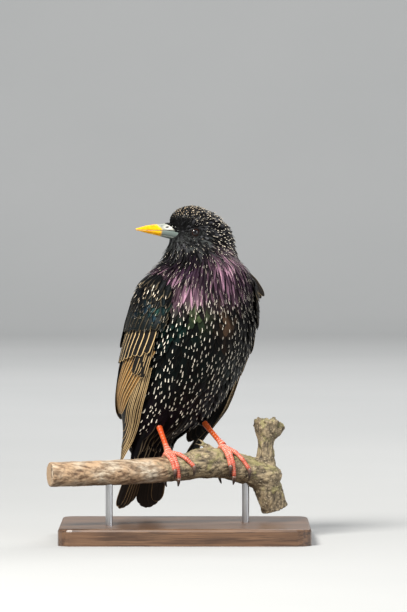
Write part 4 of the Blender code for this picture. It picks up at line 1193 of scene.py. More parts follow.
def foldedWing(heights, across):
    # heights and degrees of a grid over the folded wing: first, last and number of each way
    heights, across = np.linspace(*heights), np.linspace(*across)
    edges = edgesAt(heights)
    degrees = edges[:, :1] * (1 - across) + edges[:, 1:] * across
    return np.broadcast_to(heights[:, None], degrees.shape), degrees


def wingCore(side):
    # the closed shell that the feathers are rooted in
    height, degrees = foldedWing((147.0, 79.0, 30), (0.04, 0.96, 20))
    outer = wingPoint(side, height, degrees, -1.6)
    inner = bodyPoint(height, sideAngle(side, degrees), 0.3)
    outer = pushOut(outer, height, sideAngle(side, degrees), 0.8)
    rows, columns = degrees.shape
    top = gridFaces(rows, columns, closed=False)
    bottom = top[:, ::-1] + rows * columns
    rim = [(0, c) for c in range(columns)] + [(r, columns - 1) for r in range(1, rows)]
    rim += [(rows - 1, c) for c in range(columns - 2, -1, -1)] + [(r, 0) for r in range(rows - 2, 0, -1)]
    rim = [r * columns + c for r, c in rim]
    walls = [(a, a + rows * columns, b + rows * columns, b) for a, b in zip(rim, rim[1:] + rim[:1])]
    faces = [tuple(face) for face in np.concatenate([top, bottom, np.array(walls)])]
    return [tuple(point) for point in np.concatenate([outer.reshape(-1, 3), inner.reshape(-1, 3)])], faces


def liftedCoverts(index0):
    # a few coverts that stand off the left shoulder
    shares = flightShares
    number = np.arange(3)[:, None]
    heights = 149.0 - (12.6 + 1.4 * number) * shares[None]
    degrees = 74.0 + 6.0 * number + 0.0 * heights
    centres = wingPoint("left", heights, degrees, -1.6 - 0.8 * number + 5.4 * shares[None] ** 1.4)
    outward = wingPoint("left", heights, degrees, 0.5) - wingPoint("left", heights, degrees)
    normals = unit(outward + np.array((0.0, -0.9, 0.2)))
    wide = 2.0 * flightWidths(shares, 0.0)[None] * np.ones((3, 1))
    gloss, mark, size = (np.tile(row, (3, 1)) for row in (webTones["brown"], (0.07, 0.5, 0.0, 0.5), (0.009, 0.9)))
    return centres, normals, wide, gloss, mark, bakeStrips(index0, 3), size


shoulder = {
    "above": 124.0, "tries": 9000,
    # by height
    "spacing": ((118.0, 135.0, 148.0), (2.7, 2.5, 2.3)),
    "lengths": ((124.0, 148.0), (7.0, 8.5)),
    "halfWidths": ((124.0, 148.0), (1.9, 2.2)),
}
for side in sides:
    core = joined(f"wingCore_{side}", [wingCore(side)], coatFinish)
    points = vertices(core)
    bareSkin(core, points, np.tile(coreGloss, (len(points), 1)))
    made, index0 = [], 0
    for row in wingFeathers.values():
        made.append(wingSet(side, row, index0))
        index0 += row["count"]
    if side == "left":
        made.append(liftedCoverts(index0))
    centres, normals, wide, gloss, mark, corner, size = (np.concatenate(group) for group in zip(*made))
    wing = vaneObject(
        f"wingFeathers_{side}", "flight", centres, normals, wide, 0.12, 0.2, gloss, mark, (corner, size),
        flightFinish, 0.18, mirrored=side == "right",
    )
    for item in (core, wing):
        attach(item, "root")
    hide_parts(f"wing_{side}")
    # small coverts over the shoulder
    height, degrees = foldedWing((149.0, 114.0, 26), (-0.03, 1.03, 30))
    surface = makeSurface(wingPoint(side, height, degrees, -1.0), bodyPoint(130.0, 0.0, -30.0), closed=False)
    draw = np.random.default_rng(70 + len(side))
    roots = scatter(
        surface, byHeight(shoulder["spacing"]), lambda p: p[:, 2] > shoulder["above"], draw, shoulder["tries"],
    )
    count = len(roots)
    high = smoothShare(roots[:, 2], 137.0, 143.0)
    lengths = byHeight(shoulder["lengths"])(roots) * draw.uniform(0.9, 1.1, count)
    # bright V edges on the upper ones, and dull grey brown ones below them
    tipLength = draw.uniform(0.2, 0.32, count)
    tipWidth = draw.uniform(0.16, 0.34, count) * (draw.random(count) > 0.3) * (0.35 + 0.65 * high)
    edge = high * draw.uniform(-0.6, 1.2, count) + 0.12 + 0.6 * bump(roots[:, 2], 130.0, 5.0) * draw.random(count)
    mark = marks(tipLength, tipWidth, np.clip(edge, 0, 1), draw.uniform(0.0, 0.6, count))
    rise = draw.uniform(1.5, 2.0, count)
    halfWidths = byHeight(shoulder["halfWidths"])(roots)
    growCoat(
        f"shoulder_{side}", "contour", surface, roots, lengths, halfWidths, (0.3, rise), mark, 71,
        without=("purple", "lilacHighlight"),
    )
print("wings")

# Tail: each half is a row of feathers from the middle one out. "roots" and "tips" are how far to the right
# the first and last feather's ends are, "feet" the tips' heights, and "edges" how pale their edges are.
tail = {
    "top": 53.6, "foot": 15.0, "rootForward": -41.5, "tipForward": -57.0, "camber": 0.014, "middle": 7.0,
    "depth": 1.8, "pitch": 0.72, "halfWidth": 3.9,
    "halves": {
        "right": {
            "roots": (8.0, 14.5), "tips": (9.8, 23.2), "feet": (22.5, 18.6, 16.6, 15.6, 15.4, 16.8), "skip": 0.0,
            "edges": (0.1, 0.15, 0.25, 0.45, 0.7, 1.0),
        },
        "left": {
            "roots": (5.5, -0.5), "tips": (4.4, -2.6), "feet": (17.5, 15.8, 15.2, 15.4, 16.6, 18.8), "skip": 0.36,
            "edges": (0.08, 0.08, 0.1, 0.12, 0.25, 0.55),
        },
    },
}


def tailForward(height):
    # how far forward the tail is at a height
    share = (tail["top"] - height) / (tail["top"] - tail["foot"])
    return tail["rootForward"] + (tail["tipForward"] - tail["rootForward"]) * share


shares = flightShares
centres, normals, wide, corner = [], [], [], []
for half in tail["halves"].values():
    for index, foot in enumerate(half["feet"]):
        height = tail["top"] - 1.0 + (foot - tail["top"] + 1.0) * shares
        ends = [between(half[end], index / 5) for end in ("roots", "tips")]
        place = between(ends, shares)
        depth = tail["depth"] - tail["pitch"] * index - half["skip"]
        forward = tailForward(height) + tail["camber"] * (place - tail["middle"]) ** 2 - depth
        centres.append(birdPoint(forward, place, height))
        bend = 2 * tail["camber"] * (place - tail["middle"])
        normals.append(unit(birdPoint(np.full(24, -1.0), bend, 0.4) - birdPoint(0.0, 0.0, 0.0)))
        wide.append(tail["halfWidth"] * flightWidths(shares, 0.75))
        corner.append((len(corner) / 12.0 + 0.01, 0.02))
draw = np.random.default_rng(81)
count = len(corner)
gloss = np.tile((0.018, 0.015, 0.013, 0.25), (count, 1)) * (1 + draw.normal(0, 0.1, (count, 1)))
mark = np.array([(0.05, edge, 0.1, edge) for half in tail["halves"].values() for edge in half["edges"]])
tailItem = vaneObject(
    "tailFeathers", "flight", np.array(centres), np.array(normals), np.array(wide), 0.06, 0.28, gloss, mark,
    (np.array(corner), np.tile((0.06, 0.9), (count, 1))), flightFinish, 0.25,
)
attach(tailItem, "root")
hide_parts("tail")

# long coverts over the root of the tail, in front and behind
coverts = (
    # count, root height, tip height, lift, first and last degrees from the breast, half width
    (11, 62.0, 36.0, 0.7, -64.0, 64.0, 2.9), (10, 66.0, 42.0, 1.2, -60.0, 60.0, 2.9),
    (10, 70.0, 48.0, 1.8, -56.0, 56.0, 2.9), (8, 74.0, 55.0, 2.4, -50.0, 50.0, 3.0),
    (5, 62.0, 40.0, 1.0, 148.0, 212.0, 3.4), (6, 70.0, 48.0, 1.8, 140.0, 220.0, 3.6),
)
centres, normals, wide, roots = [], [], [], []
tailRoot = birdPoint(tail["rootForward"], 0.0, tail["top"])
slope = unit(birdPoint(tail["tipForward"], 0.0, tail["foot"]) - tailRoot)
draw = np.random.default_rng(82)
shape = vaneKinds["contour"]
shares = np.array(shape["shares"])
for number, root, tip, lift, first, last, halfWidth in coverts:
    for degrees in np.linspace(first, last, number) + draw.normal(0, 1.5, number):
        angle = forwardAngle - math.radians(degrees)
        ends = root + (tip + draw.normal(0, 1.2) - root) * shares
        upper = np.maximum(ends, 54.6)
        line = bodyPoint(upper, angle, -0.6 + (lift + 0.6) * np.minimum(1, (root - ends) / (root - 54.6)))
        line = line + slope * np.maximum(upper - ends, 0)[:, None]
        centres.append(line)
        normals.append(np.tile((math.cos(angle), math.sin(angle), 0.1), (len(shares), 1)))
        wide.append(halfWidth * np.array(shape["widths"]))
        roots.append(line[0])
count = len(roots)
mark = marks(
    draw.uniform(0.1, 0.2, count), 0.12, draw.uniform(0.1, 0.6, count), draw.uniform(0.3, 0.7, count),
)
roots = np.array(roots)
item = vaneObject(
    "tailCoverts", "contour", np.array(centres), np.array(normals), np.array(wide), 0.25, 0.14,
    glossAt(roots, draw), mark, (unwrap(roots), np.full((count, 2), 0.004)), coatFinish,
)
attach(item, "root")
print("tail")

# Bill

bill = {
    "nostril": (20.4, 175.35), "nostrilReach": (1.25, 0.42), "nostrilDepth": 0.75,
    "pale": (19.4, 175.2), "paleReach": (3.4, 1.5), "swell": (19.6, 175.3), "swellReach": (2.6, 1.1),
    "swellHeight": 0.28, "ridge": 0.18, "mouthGap": 0.22, "steps": 90, "around": 26,
}


def hornMaterial():
    # "horn": how yellow, how much painted shade of the nostril's hole, how much pale skin, and 1 on the lower half
    material, tree, shader = newMaterial("billHorn")
    horn = attribute(tree, "horn")
    mark = parts(tree, horn.outputs["Color"])
    fine = cloud(tree, 900.0, 4.0)
    broad = cloud(tree, 260.0, 3.0)
    yellow = tint(tree, spread(tree, broad, 0.35, 0.7), (0.80, 0.43, 0.0), (0.72, 0.27, 0.0))
    base = tint(tree, spread(tree, fine, 0.35, 0.7), (0.30, 0.31, 0.26), (0.16, 0.18, 0.165))
    base = tint(tree, horn.outputs["Alpha"], base, (0.13, 0.16, 0.145))
    base = tint(tree, mark["Blue"], base, (0.52, 0.51, 0.45))
    edge = calc(tree, "MULTIPLY_ADD", calc(tree, "SUBTRACT", fine, 0.5), 0.35, mark["Red"])
    colour = tint(tree, spread(tree, edge, 0.3, 0.72), base, yellow)
    # painted shade: the nostril's hole is near black
    colour = tint(tree, mark["Green"], colour, (0.004, 0.004, 0.004))
    rough = calc(tree, "MULTIPLY_ADD", fine, 0.25, 0.2)
    setInputs(tree, shader, {"Base Color": colour, "Roughness": rough, "Specular IOR Level": 0.3})
    relief(tree, shader, cloud(tree, 500.0, 3.0, stretch=(0.5, 0.5, 2.0)), 0.2, 0.00015)
    return material


def mandible(upper):
    # a half oval that narrows to the tip, with its flat side at the mouth line
    root, tip = billRows[0][0], billRows[-1][0]
    along = root + (tip - root) * np.linspace(0, 1, bill["steps"]) ** 0.85
    half, top, split, bottom = billAt(along).T
    sign = 1 if upper else -1
    floor = split + sign * bill["mouthGap"] / 2
    far = top if upper else bottom
    turns = np.linspace(0, math.pi, bill["around"])
    over = np.stack([np.cos(turns), np.sin(turns) ** (0.85 if upper else 0.95)], axis=1)
    under = np.stack([np.linspace(-0.8, 0.8, 5), np.full(5, 0.12)], axis=1)
    ring = np.concatenate([over, under])
    side = half[:, None] * ring[None, :, 0]
    height = floor[:, None] + (far - floor)[:, None] * ring[None, :, 1]
    # a fine ridge along the middle, and the mouth's edge a little drawn in
    ridge = np.exp(-(ring[None, :, 0] / 0.16) ** 2) * (ring[None, :, 1] > 0.5)
    ridge = sign * bill["ridge"] * ridge * smoothShare(along, 9, 14)[:, None]
    height = height + ridge * smoothShare(38 - along, 0, 6)[:, None]
    return billPoint(along[:, None], side, height)


def patch(along, height, middle, reach):
    # 1 at the middle of an oval patch, and less outwards
    return bump(along, middle[0], reach[0]) * bump(height, middle[1], reach[1])


billFinish = hornMaterial()
for upper in (True, False):
    item = joined("upperBill" if upper else "lowerBill", [closedTube(mandible(upper))], billFinish)
    places = vertices(item)
    gap = places[:, :2] - headMiddle
    along, side = gap @ billWay, gap @ headSide
    height = places[:, 2]
    yellow = smoothShare(along + 0.9 * (174.5 - height) * (1 if upper else 0.0), 20.5, 27.5)
    if upper:
        # the nostril slants down a little to the front
        near = patch(along, height + 0.18 * (along - bill["nostril"][0]), bill["nostril"], bill["nostrilReach"])
        # painted shade inside the nostril, deeper than its dent
        nostril = smoothShare(near, 0.25, 0.6)
        pale = smoothShare(patch(along, height, bill["pale"], bill["paleReach"]), 0.2, 0.65)
        swell = patch(along, height, bill["swell"], bill["swellReach"]) - 1.6 * near
        inward = bill["nostrilDepth"] * near - bill["swellHeight"] * np.clip(swell, 0, 1)
        places[:, :2] -= (np.sign(side) * inward)[:, None] * headSide
        setVertices(item, places)
    else:
        nostril = 0.0
        pale = 0.9 * smoothShare(0.35 - np.abs(height - 168.0 - 0.2 * (along - 9)), 0.0, 0.35)
        pale = pale * smoothShare(27 - along, 0, 6)
    setColour(item, "horn", marks(yellow, nostril, pale, 0.0 if upper else 1.0))
    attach(item, "root")
    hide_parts("bill_upper" if upper else "bill_lower")
print("bill")

# Eyes, with the ring of bare lid round each

lids = {"out": 10.35, "radius": 2.48, "thick": 0.38, "around": 96, "section": 14, "beads": 34}


def eyeMaterial():
    # "gaze" is 1 in the middle of the pupil and falls off over the ball
    material, tree, shader = newMaterial("eyeball")
    gaze = attribute(tree, "gaze").outputs["Fac"]
    streaks = cloud(tree, 1500.0, 3.0)
    iris = tint(tree, streaks, (0.012, 0.005, 0.003), (0.038, 0.013, 0.006))
    rim = spread(tree, gaze, 0.70, 0.76)
    colour = tint(tree, rim, (0.008, 0.006, 0.005), iris)
    colour = tint(tree, spread(tree, gaze, 0.855, 0.885), colour, (0.002, 0.002, 0.003))
    setInputs(tree, shader, {
        "Base Color": colour, "Roughness": 0.12, "Coat Weight": 0.45, "Coat Roughness": 0.02,
        "Specular IOR Level": 0.2,
    })
    return material


def lidMaterial():
    # "pale" is the light line below the eye
    material, tree, shader = newMaterial("lidSkin")
    pale = attribute(tree, "pale").outputs["Fac"]
    grain = cloud(tree, 1600.0, 3.0)
    dark = tint(tree, grain, (0.002, 0.002, 0.002), (0.010, 0.008, 0.008))
    colour = tint(tree, pale, dark, (0.13, 0.12, 0.12))
    setInputs(tree, shader, {"Base Color": colour, "Roughness": 0.55, "Specular IOR Level": 0.15})
    relief(tree, shader, grain, 0.4, 0.0001)
    return material


eyeFinish, lidFinish = eyeMaterial(), lidMaterial()
for side in sides:
    gazeWay = np.append(unit(headSide * signs[side] + 0.16 * billWay), 0.02)
    mesh = bmesh.new()
    turn = Vector((0, 0, 1)).rotation_difference(Vector(gazeWay)).to_matrix().to_4x4()
    place = Matrix.Translation(Vector(eyeMiddle(side)) * mm)
    bmesh.ops.create_uvsphere(mesh, u_segments=56, v_segments=36, radius=eyes["radius"] * mm, matrix=place @ turn)
    item = fromBmesh(f"eyeball_{side}", mesh, eyeFinish)
    places = vertices(item)
    spokes = unit(places - eyeMiddle(side))
    gaze = spokes @ unit(gazeWay)
    # the clear front of the eye bulges a little
    setVertices(item, places + spokes * (eyes["bulge"] * smoothShare(gaze, 0.6, 0.95))[:, None])
    setShare(item, "gaze", gaze)
    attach(item, "root")
    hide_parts(f"eye_{side}")
    # lid ring with fine beads
    around = np.linspace(0, 2 * math.pi, lids["around"], endpoint=False)
    section = np.linspace(0, 2 * math.pi, lids["section"], endpoint=False)
    middle = billPoint(eyes["along"] + 0.1, signs[side] * lids["out"], eyes["height"])
    level, up = np.append(billWay, 0.0), np.array((0.0, 0.0, 1.0))
    outway = np.append(headSide * signs[side], 0.0)
    spoke = np.cos(around)[:, None] * level + np.sin(around)[:, None] * up
    # almond rather than round: pointed a little before and behind
    reach = lids["radius"] + 0.16 * np.cos(around) ** 2 - 0.12 * np.sin(around) ** 2
    thick = lids["thick"] * (1 + 0.10 * np.cos(around * lids["beads"]))
    grid = middle + spoke[:, None] * (reach[:, None] + thick[:, None] * np.cos(section)[None])[..., None]
    out = thick[:, None] * 0.8 * np.sin(section)[None] - 0.12 * (spoke @ level)[:, None] ** 2
    grid = grid + outway * out[..., None]
    faces = []
    count = lids["section"]
    for row, column in product(range(lids["around"]), range(count)):
        here, after = row * count, (row + 1) % lids["around"] * count
        beside = (column + 1) % count
        faces.append((here + column, here + beside, after + beside, after + column))
    item = joined(f"lid_{side}", [([tuple(point) for point in grid.reshape(-1, 3)], faces)], lidFinish)
    places = vertices(item)
    low = smoothShare(eyes["height"] - places[:, 2], 1.5, 2.5)
    setShare(item, "pale", low * smoothShare(np.linalg.norm(places - middle, axis=1), 2.55, 2.85))
    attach(item, "root")
print("eyes")

# Legs, toes and claws

toes = {
    # start and end along the branch from the foot, first and last degrees from its top, the claw's further
    # degrees, radius
    "inner": (-1.6, 0.9, 10, 92, 34, 1.25), "middle": (0.6, 3.6, 8, 126, 26, 1.35),
    "outer": (2.6, 11.5, 10, 88, 34, 1.25), "hind": (0, 0.6, -24, -116, -38, 1.45),
}
# how far each claw's tip stands off the branch
clawHooks = {"inner": 0.8, "middle": 3.2, "outer": 0.8, "hind": 3.6}
toeForm = {
    "gap": 0.3, "taper": 0.22, "joints": (0.3, 0.62, 0.93), "jointSwell": 0.14, "scute": 1.15, "shinScute": 2.3,
}
clawForm = {"rootDegrees": 1.6, "share": 0.92, "tip": 0.12, "arch": 0.4, "drift": 0.4, "squeeze": 0.15}


def toePath(side, toe, claw=False):
    # the centre line and radii of a toe or its claw, bent round the branch
    start, end, first, last, further, radius = toes[toe]
    foot = legs["foot"][side]
    share = np.linspace(0, 1, 40)
    if claw:
        along = foot + end + clawForm["drift"] * share
        angle = last + math.copysign(clawForm["rootDegrees"], further) + further * share
        size = radius * clawForm["share"] * (1 - share) ** 0.55 + clawForm["tip"]
        grow = size + toeForm["gap"] + clawForm["arch"] * (1 - share) + clawHooks[toe] * share**1.3
    else:
        along = foot + start + (end - start) * share
        angle = first + (last - first) * share
        swell = sum(bump(share, joint, 0.07) for joint in toeForm["joints"])
        size = radius * (1 - toeForm["taper"] * share) * (0.96 + toeForm["jointSwell"] * swell)
        grow = size + toeForm["gap"] - 0.1
    return np.array([perchPoint(a, d, g) for a, d, g in zip(along, angle, grow)]), size


def legMaterial():
    # "scale": pale edge of a scute, how much it is toe rather than shin, and how far it faces under
    material, tree, shader = newMaterial("legSkin")
    mark = parts(tree, attribute(tree, "scale").outputs["Color"])
    grain, patchy = cloud(tree, 1400.0, 3.0), cloud(tree, 330.0, 3.0)
    shin = tint(tree, spread(tree, patchy, 0.35, 0.65), (0.46, 0.050, 0.004), (0.54, 0.090, 0.012))
    toe = tint(tree, spread(tree, patchy, 0.35, 0.65), (0.44, 0.055, 0.024), (0.54, 0.130, 0.075))
    colour = tint(tree, mark["Green"], shin, toe)
    colour = tint(tree, mark["Blue"], colour, (0.55, 0.22, 0.11))
    pale = calc(tree, "MULTIPLY", mark["Red"], calc(tree, "MULTIPLY_ADD", grain, 0.9, 0.25), clamp=True)
    colour = tint(tree, pale, colour, (0.80, 0.47, 0.37))
    setInputs(tree, shader, {
        "Base Color": colour, "Roughness": calc(tree, "MULTIPLY_ADD", grain, 0.25, 0.26),
        "Subsurface Weight": 0.1, "Subsurface Radius": (1.0, 0.35, 0.2), "Subsurface Scale": 0.0008,
    })
    relief(tree, shader, grain, 0.25, 0.00012)
    return material


def clawMaterial():
    # "along" runs from 0 at the root to 1 at the tip
    material, tree, shader = newMaterial("clawHorn")
    share = attribute(tree, "along").outputs["Fac"]
    streak = cloud(tree, 900.0, 3.0)
    colour = tint(tree, spread(tree, share, 0.0, 0.5), (0.17, 0.10, 0.075), (0.022, 0.017, 0.015))
    colour = tint(tree, calc(tree, "MULTIPLY", streak, 0.5), colour, (0.09, 0.06, 0.05))
    setInputs(tree, shader, {"Base Color": colour, "Roughness": 0.3})
    relief(tree, shader, streak, 0.2, 0.0001)
    return material


legFinish, clawFinish = legMaterial(), clawMaterial()
for side in sides:
    # the shin, then a tube for each toe, fused into one skin
    top = np.array(legs["top"][side]) - legWay(side) * 3.0
    share = np.linspace(0, 1, 60)
    shin = top * (1 - share[:, None]) + footMiddle(side) * share[:, None]
    size = legs["radius"] * (1 + 0.16 * bump(share, 0.25, 0.12) + 0.42 * smoothShare(share, 0.80, 0.97))
    # each run is a centre line, its radii, and 1 where it is a toe
    runs = [(shin, size, 0.0)]
    shapes = [closedTube(tubeGrid(shin, size, 28))]
    for toe in toes:
        path, size = toePath(side, toe)
        start = footMiddle(side) + (footMiddle(side) - path[0]) * 0.15
        lead = start + (path[0] - start) * np.linspace(0, 1, 9)[:-1, None]
        path, size = np.concatenate([lead, path]), np.concatenate([np.full(8, size[0] * 1.02), size])
        # a rounded end where the claw comes out
        end = path[-1] + unit(path[-1] - path[-2]) * np.array((0.3, 0.55))[:, None]
        path, size = np.concatenate([path, end]), np.concatenate([size, size[-1] * np.array((0.85, 0.5))])
        runs.append((path, size, 1.0))
        shapes.append(closedTube(tubeGrid(path, size, 22)))
    leg = joined(f"legSkin_{side}", shapes, legFinish)
    fuse(leg, legs["voxel"], 3)
    places, outward = vertices(leg), vertexNormals(leg)
    # how many scutes along its run each point is, whether that is a toe, and how far it faces out
    nearest = np.full(len(places), 1e9)
    arc, onToe, facing = np.zeros((3, len(places)))
    for path, size, toeShare in runs:
        lengths = np.concatenate([[0.0], np.cumsum(np.linalg.norm(np.diff(path, axis=0), axis=1))])
        gaps = np.linalg.norm(places[:, None] - path[None], axis=2) - size[None]
        spot = gaps.argmin(axis=1)
        gap = gaps.min(axis=1)
        closer = gap < nearest
        nearest = np.where(closer, gap, nearest)
        way = np.gradient(path, axis=0)
        run = lengths[spot] + ((places - path[spot]) * unit(way)[spot]).sum(axis=1)
        arc = np.where(closer, run / (toeForm["scute"] if toeShare else toeForm["shinScute"]), arc)
        onToe = np.where(closer, toeShare, onToe)
        if toeShare:
            axis = perchAxis(path[:, 0])[0]
            out = unit(path - axis)[spot]
        else:
            out = np.tile(unit(np.append(forwardWay, 0.3)), (len(places), 1))
        facing = np.where(closer, (outward * out).sum(axis=1), facing)
    phase = arc - np.floor(arc)
    topSide = smoothShare(facing, -0.25, 0.35)
    groove = np.exp(-((np.minimum(phase, 1 - phase) / 0.13) ** 2))
    rough = np.array([noise.noise(Vector(place) * 2.2) for place in places])
    lift = topSide * (0.10 - 0.15 * groove + 0.08 * phase) + (1 - topSide) * 0.14 * rough
    setVertices(leg, places + outward * lift[:, None])
    # the shin's colour changes to the toes' at the ankle
    ankle = smoothShare(np.linalg.norm(places - footMiddle(side), axis=1), 2.0, 8.0)
    toeMix = np.where(onToe > 0, 1.0, 1 - ankle)
    pale = topSide * np.exp(-(((phase - 0.82) / 0.16) ** 2)) * (0.08 + 0.92 * toeMix) * (0.75 + 1.5 * rough)
    setColour(leg, "scale", marks(np.clip(pale, 0, 1), toeMix, (1 - topSide) * toeMix * 0.8, 1.0))
    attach(leg, "root")
    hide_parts(f"leg_{side}", f"foot_{side}")
    shapes, shares = [], []
    for toe in toes:
        path, size = toePath(side, toe, claw=True)
        path = np.concatenate([path[:1] - unit(path[1] - path[0]) * 0.9, path])
        size = np.concatenate([size[:1] * 0.9, size])
        grid = tubeGrid(path, size, 18)
        # deeper than wide: squeezed along the branch
        squeeze = np.append(perchWay, 0.0)
        offset = (grid - path[:, None]) @ squeeze
        grid = grid - clawForm["squeeze"] * offset[..., None] * squeeze
        shapes.append(closedTube(grid))
        shares.append(np.repeat(np.linspace(0, 1, len(path)), 18))
    claws = joined(f"claws_{side}", shapes, clawFinish)
    setShare(claws, "along", np.concatenate(shares))
    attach(claws, "root")
    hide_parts(*[f"claw_{side}_{toe}" for toe in toes])
    print("leg", side, len(places))

# The branch

alongBranch, alongStub = (0.22, 1.0, 1.0), (1.0, 1.0, 0.22)  # how the grain is drawn out
flakes = (
    # bark that stands off: four places across and up the front view, first and last radius
    ((16.0, 50.8), (13.0, 53.2), (10.2, 54.6), (7.2, 57.2), 1.0, 0.45),
    ((13.5, 51.0), (11.0, 53.0), (8.6, 53.4), (5.2, 54.6), 0.9, 0.4),
    ((42.0, 66.0), (41.5, 67.0), (41.2, 68.0), (41.0, 68.6), 1.5, 0.8),
    ((49.0, 65.0), (49.5, 66.6), (50.0, 67.6), (50.4, 68.2), 1.6, 0.9),
)


def barkMaterial():
    # "bark": painted shade in the grooves, cracks and underside, cut face, distance from the cut's middle, lichen
    material, tree, shader = newMaterial("bark")
    where = tree.nodes.new("ShaderNodeTexCoord").outputs["Object"]
    split = tree.nodes.new("ShaderNodeSeparateXYZ")
    tree.links.new(where, split.inputs["Vector"])
    bark = attribute(tree, "bark")
    mark = parts(tree, bark.outputs["Color"])
    streak = cloud(tree, 420.0, 5.0, stretch=alongBranch, roughness=0.65)
    broad = cloud(tree, 70.0, 3.0)
    fine = cloud(tree, 1100.0, 4.0)
    # the peeled half: pale wood with orange brown and dark streaks
    peeled = tint(tree, spread(tree, streak, 0.36, 0.56), (0.12, 0.062, 0.030), (0.42, 0.28, 0.165))
    greyer = tint(tree, spread(tree, streak, 0.42, 0.62), (0.25, 0.175, 0.11), (0.56, 0.47, 0.355))
    peeled = tint(tree, spread(tree, broad, 0.38, 0.62), peeled, greyer)
    # the other half: olive grey bark with lichen
    plates = spread(tree, cloud(tree, 260.0, 5.0), 0.36, 0.62)
    rough = tint(tree, plates, (0.085, 0.062, 0.036), (0.30, 0.23, 0.135))
    rough = tint(tree, spread(tree, fine, 0.48, 0.75), rough, (0.46, 0.37, 0.235))
    lichen = calc(tree, "ADD", cloud(tree, 190.0, 5.0), calc(tree, "MULTIPLY", bark.outputs["Alpha"], 0.16))
    lichen = calc(tree, "MULTIPLY", spread(tree, lichen, 0.60, 0.72), 0.5)
    rough = tint(tree, lichen, rough, (0.27, 0.25, 0.085))
    edge = wobble(tree, split.outputs["X"], 0.034, 130.0, 4.0)
    colour = tint(tree, spread(tree, edge, -0.0125, -0.0085), peeled, rough)
    # painted shade: near black in the grooves and under the branch
    colour = tint(tree, mark["Red"], colour, (0.022, 0.015, 0.010))
    rings = calc(tree, "SINE", calc(tree, "MULTIPLY_ADD", mark["Blue"], 9.0, calc(tree, "MULTIPLY", broad, 2.0)))
    cut = tint(tree, spread(tree, rings, -0.6, 1.0), (0.30, 0.19, 0.105), (0.52, 0.38, 0.24))
    cut = tint(tree, calc(tree, "MULTIPLY", fine, 0.4), cut, (0.2, 0.12, 0.07))
    colour = tint(tree, mark["Green"], colour, cut)
    setInputs(tree, shader, {"Base Color": colour, "Roughness": calc(tree, "MULTIPLY_ADD", fine, 0.2, 0.68)})
    height = calc(tree, "ADD", streak, calc(tree, "MULTIPLY", fine, 0.6))
    relief(tree, shader, height, 0.7, 0.0006)
    return material


def frontPoint(along, height, forward=0.0):
    # a place by its distance across the front view and height, in the branch's own plane
    middle = perchAxis(along)[0]
    return np.array([along, middle[1] - forward, height])


def limb(start, end, radii, around, forward=0.0):
    # a round limb between two places of the front view
    path = [frontPoint(across, height, forward) for across, height in np.linspace(start, end, len(radii))]
    return closedTube(tubeGrid(path, radii, around))


perchEnds = (perch["rows"][0][0], perch["rows"][-1][0])
main = [perchAxis(a) for a in np.linspace(*perchEnds, 90)]
share = np.linspace(0, 1, 30)
stubRadii = np.interp(share, *zip(*perch["stubRadii"]))
stubEnd = (perch["stubTop"][0], perch["stubTop"][1] - 0.8)
shapes = [
    closedTube(tubeGrid([place for place, _ in main], [float(radius) for _, radius in main], 36)),
    limb(perch["stubFoot"], stubEnd, stubRadii, 36),
    limb(perch["spurFoot"], perch["spurTip"], np.linspace(4.4, 2.6, 8), 20, forward=1.0),
    limb(perch["branchFoot"], perch["branchEnd"], perch["branchRadius"] * (1.12 - 0.1 * share), 36),
]
for *places, first, last in flakes:
    path = np.array([frontPoint(across, height, 1.5) for across, height in places])
    steps = np.linspace(0, 1, 12)
    path = np.stack([np.interp(steps, np.linspace(0, 1, 4), path[:, axis]) for axis in range(3)], axis=1)
    shapes.append(closedTube(tubeGrid(path, np.linspace(first, last, 12), 12)))
branch = joined("branch", shapes, barkMaterial())
fuse(branch, perch["voxel"], 2)
places, outward = vertices(branch), vertexNormals(branch)
stubTop = smoothShare(places[:, 2], 60.0, 66.0) * (places[:, 0] > 36)
upright = (places[:, 2] > 45.5) & (places[:, 0] > 36)
falling = (places[:, 2] < 27.0) & (places[:, 0] > 40)
grainWays = np.where((upright | falling)[:, None], alongStub, alongBranch)
bareLeft = 1 - smoothShare(places[:, 0], -14.0, -6.0)


def noiseOver(points, scale, *look, shift=(0.0, 0.0, 0.0)):
    # a plain noise, or with a look (roughness, lacunarity, octaves) a fractal one
    places = [Vector(point) * scale + Vector(shift) for point in points]
    return np.array([noise.fractal(place, *look) if look else noise.noise(place) for place in places])


grain = noiseOver(places * grainWays, 0.42, 0.9, 2.1, 4)
lump = noiseOver(places, 0.16)
fine = noiseOver(places, 0.9, 0.8, 2.2, 3)
crack = np.abs(noiseOver(places * grainWays, 0.5, shift=(7.1, 0.0, 3.3)))
crack = np.maximum(0.0, 1 - 3.6 * crack) ** 2
coarse = 1 - 0.62 * bareLeft
lift = coarse * (0.42 * grain + 0.55 * lump + 0.16 * fine) - 0.55 * crack * (0.75 - 0.25 * bareLeft)
lift = lift + stubTop * (1.1 * noiseOver(places, 0.42, 0.8, 2.2, 3) - 0.1)
# painted shade in the cracks and the low places of the grain
groove = np.minimum(1.0, crack * (0.4 + 0.2 * coarse) + np.maximum(0.0, -grain) * 0.7 * coarse)
# painted shade: the underside is darker, unevenly
under = smoothShare(-outward[:, 2], 0.35, 0.9) * (0.55 + 0.6 * noiseOver(places, 0.35))
groove = np.maximum(groove, 0.8 * np.clip(under, 0, 1))
# the bark is nearly smooth where the toes hold it
nearFeet = np.min([np.abs(places[:, 0] - legs["foot"][side] - 3.0) for side in sides], axis=0)
lift = np.where((nearFeet < 11.0) & (places[:, 2] < 56), np.minimum(lift, 0.18), np.minimum(lift, 1.2))
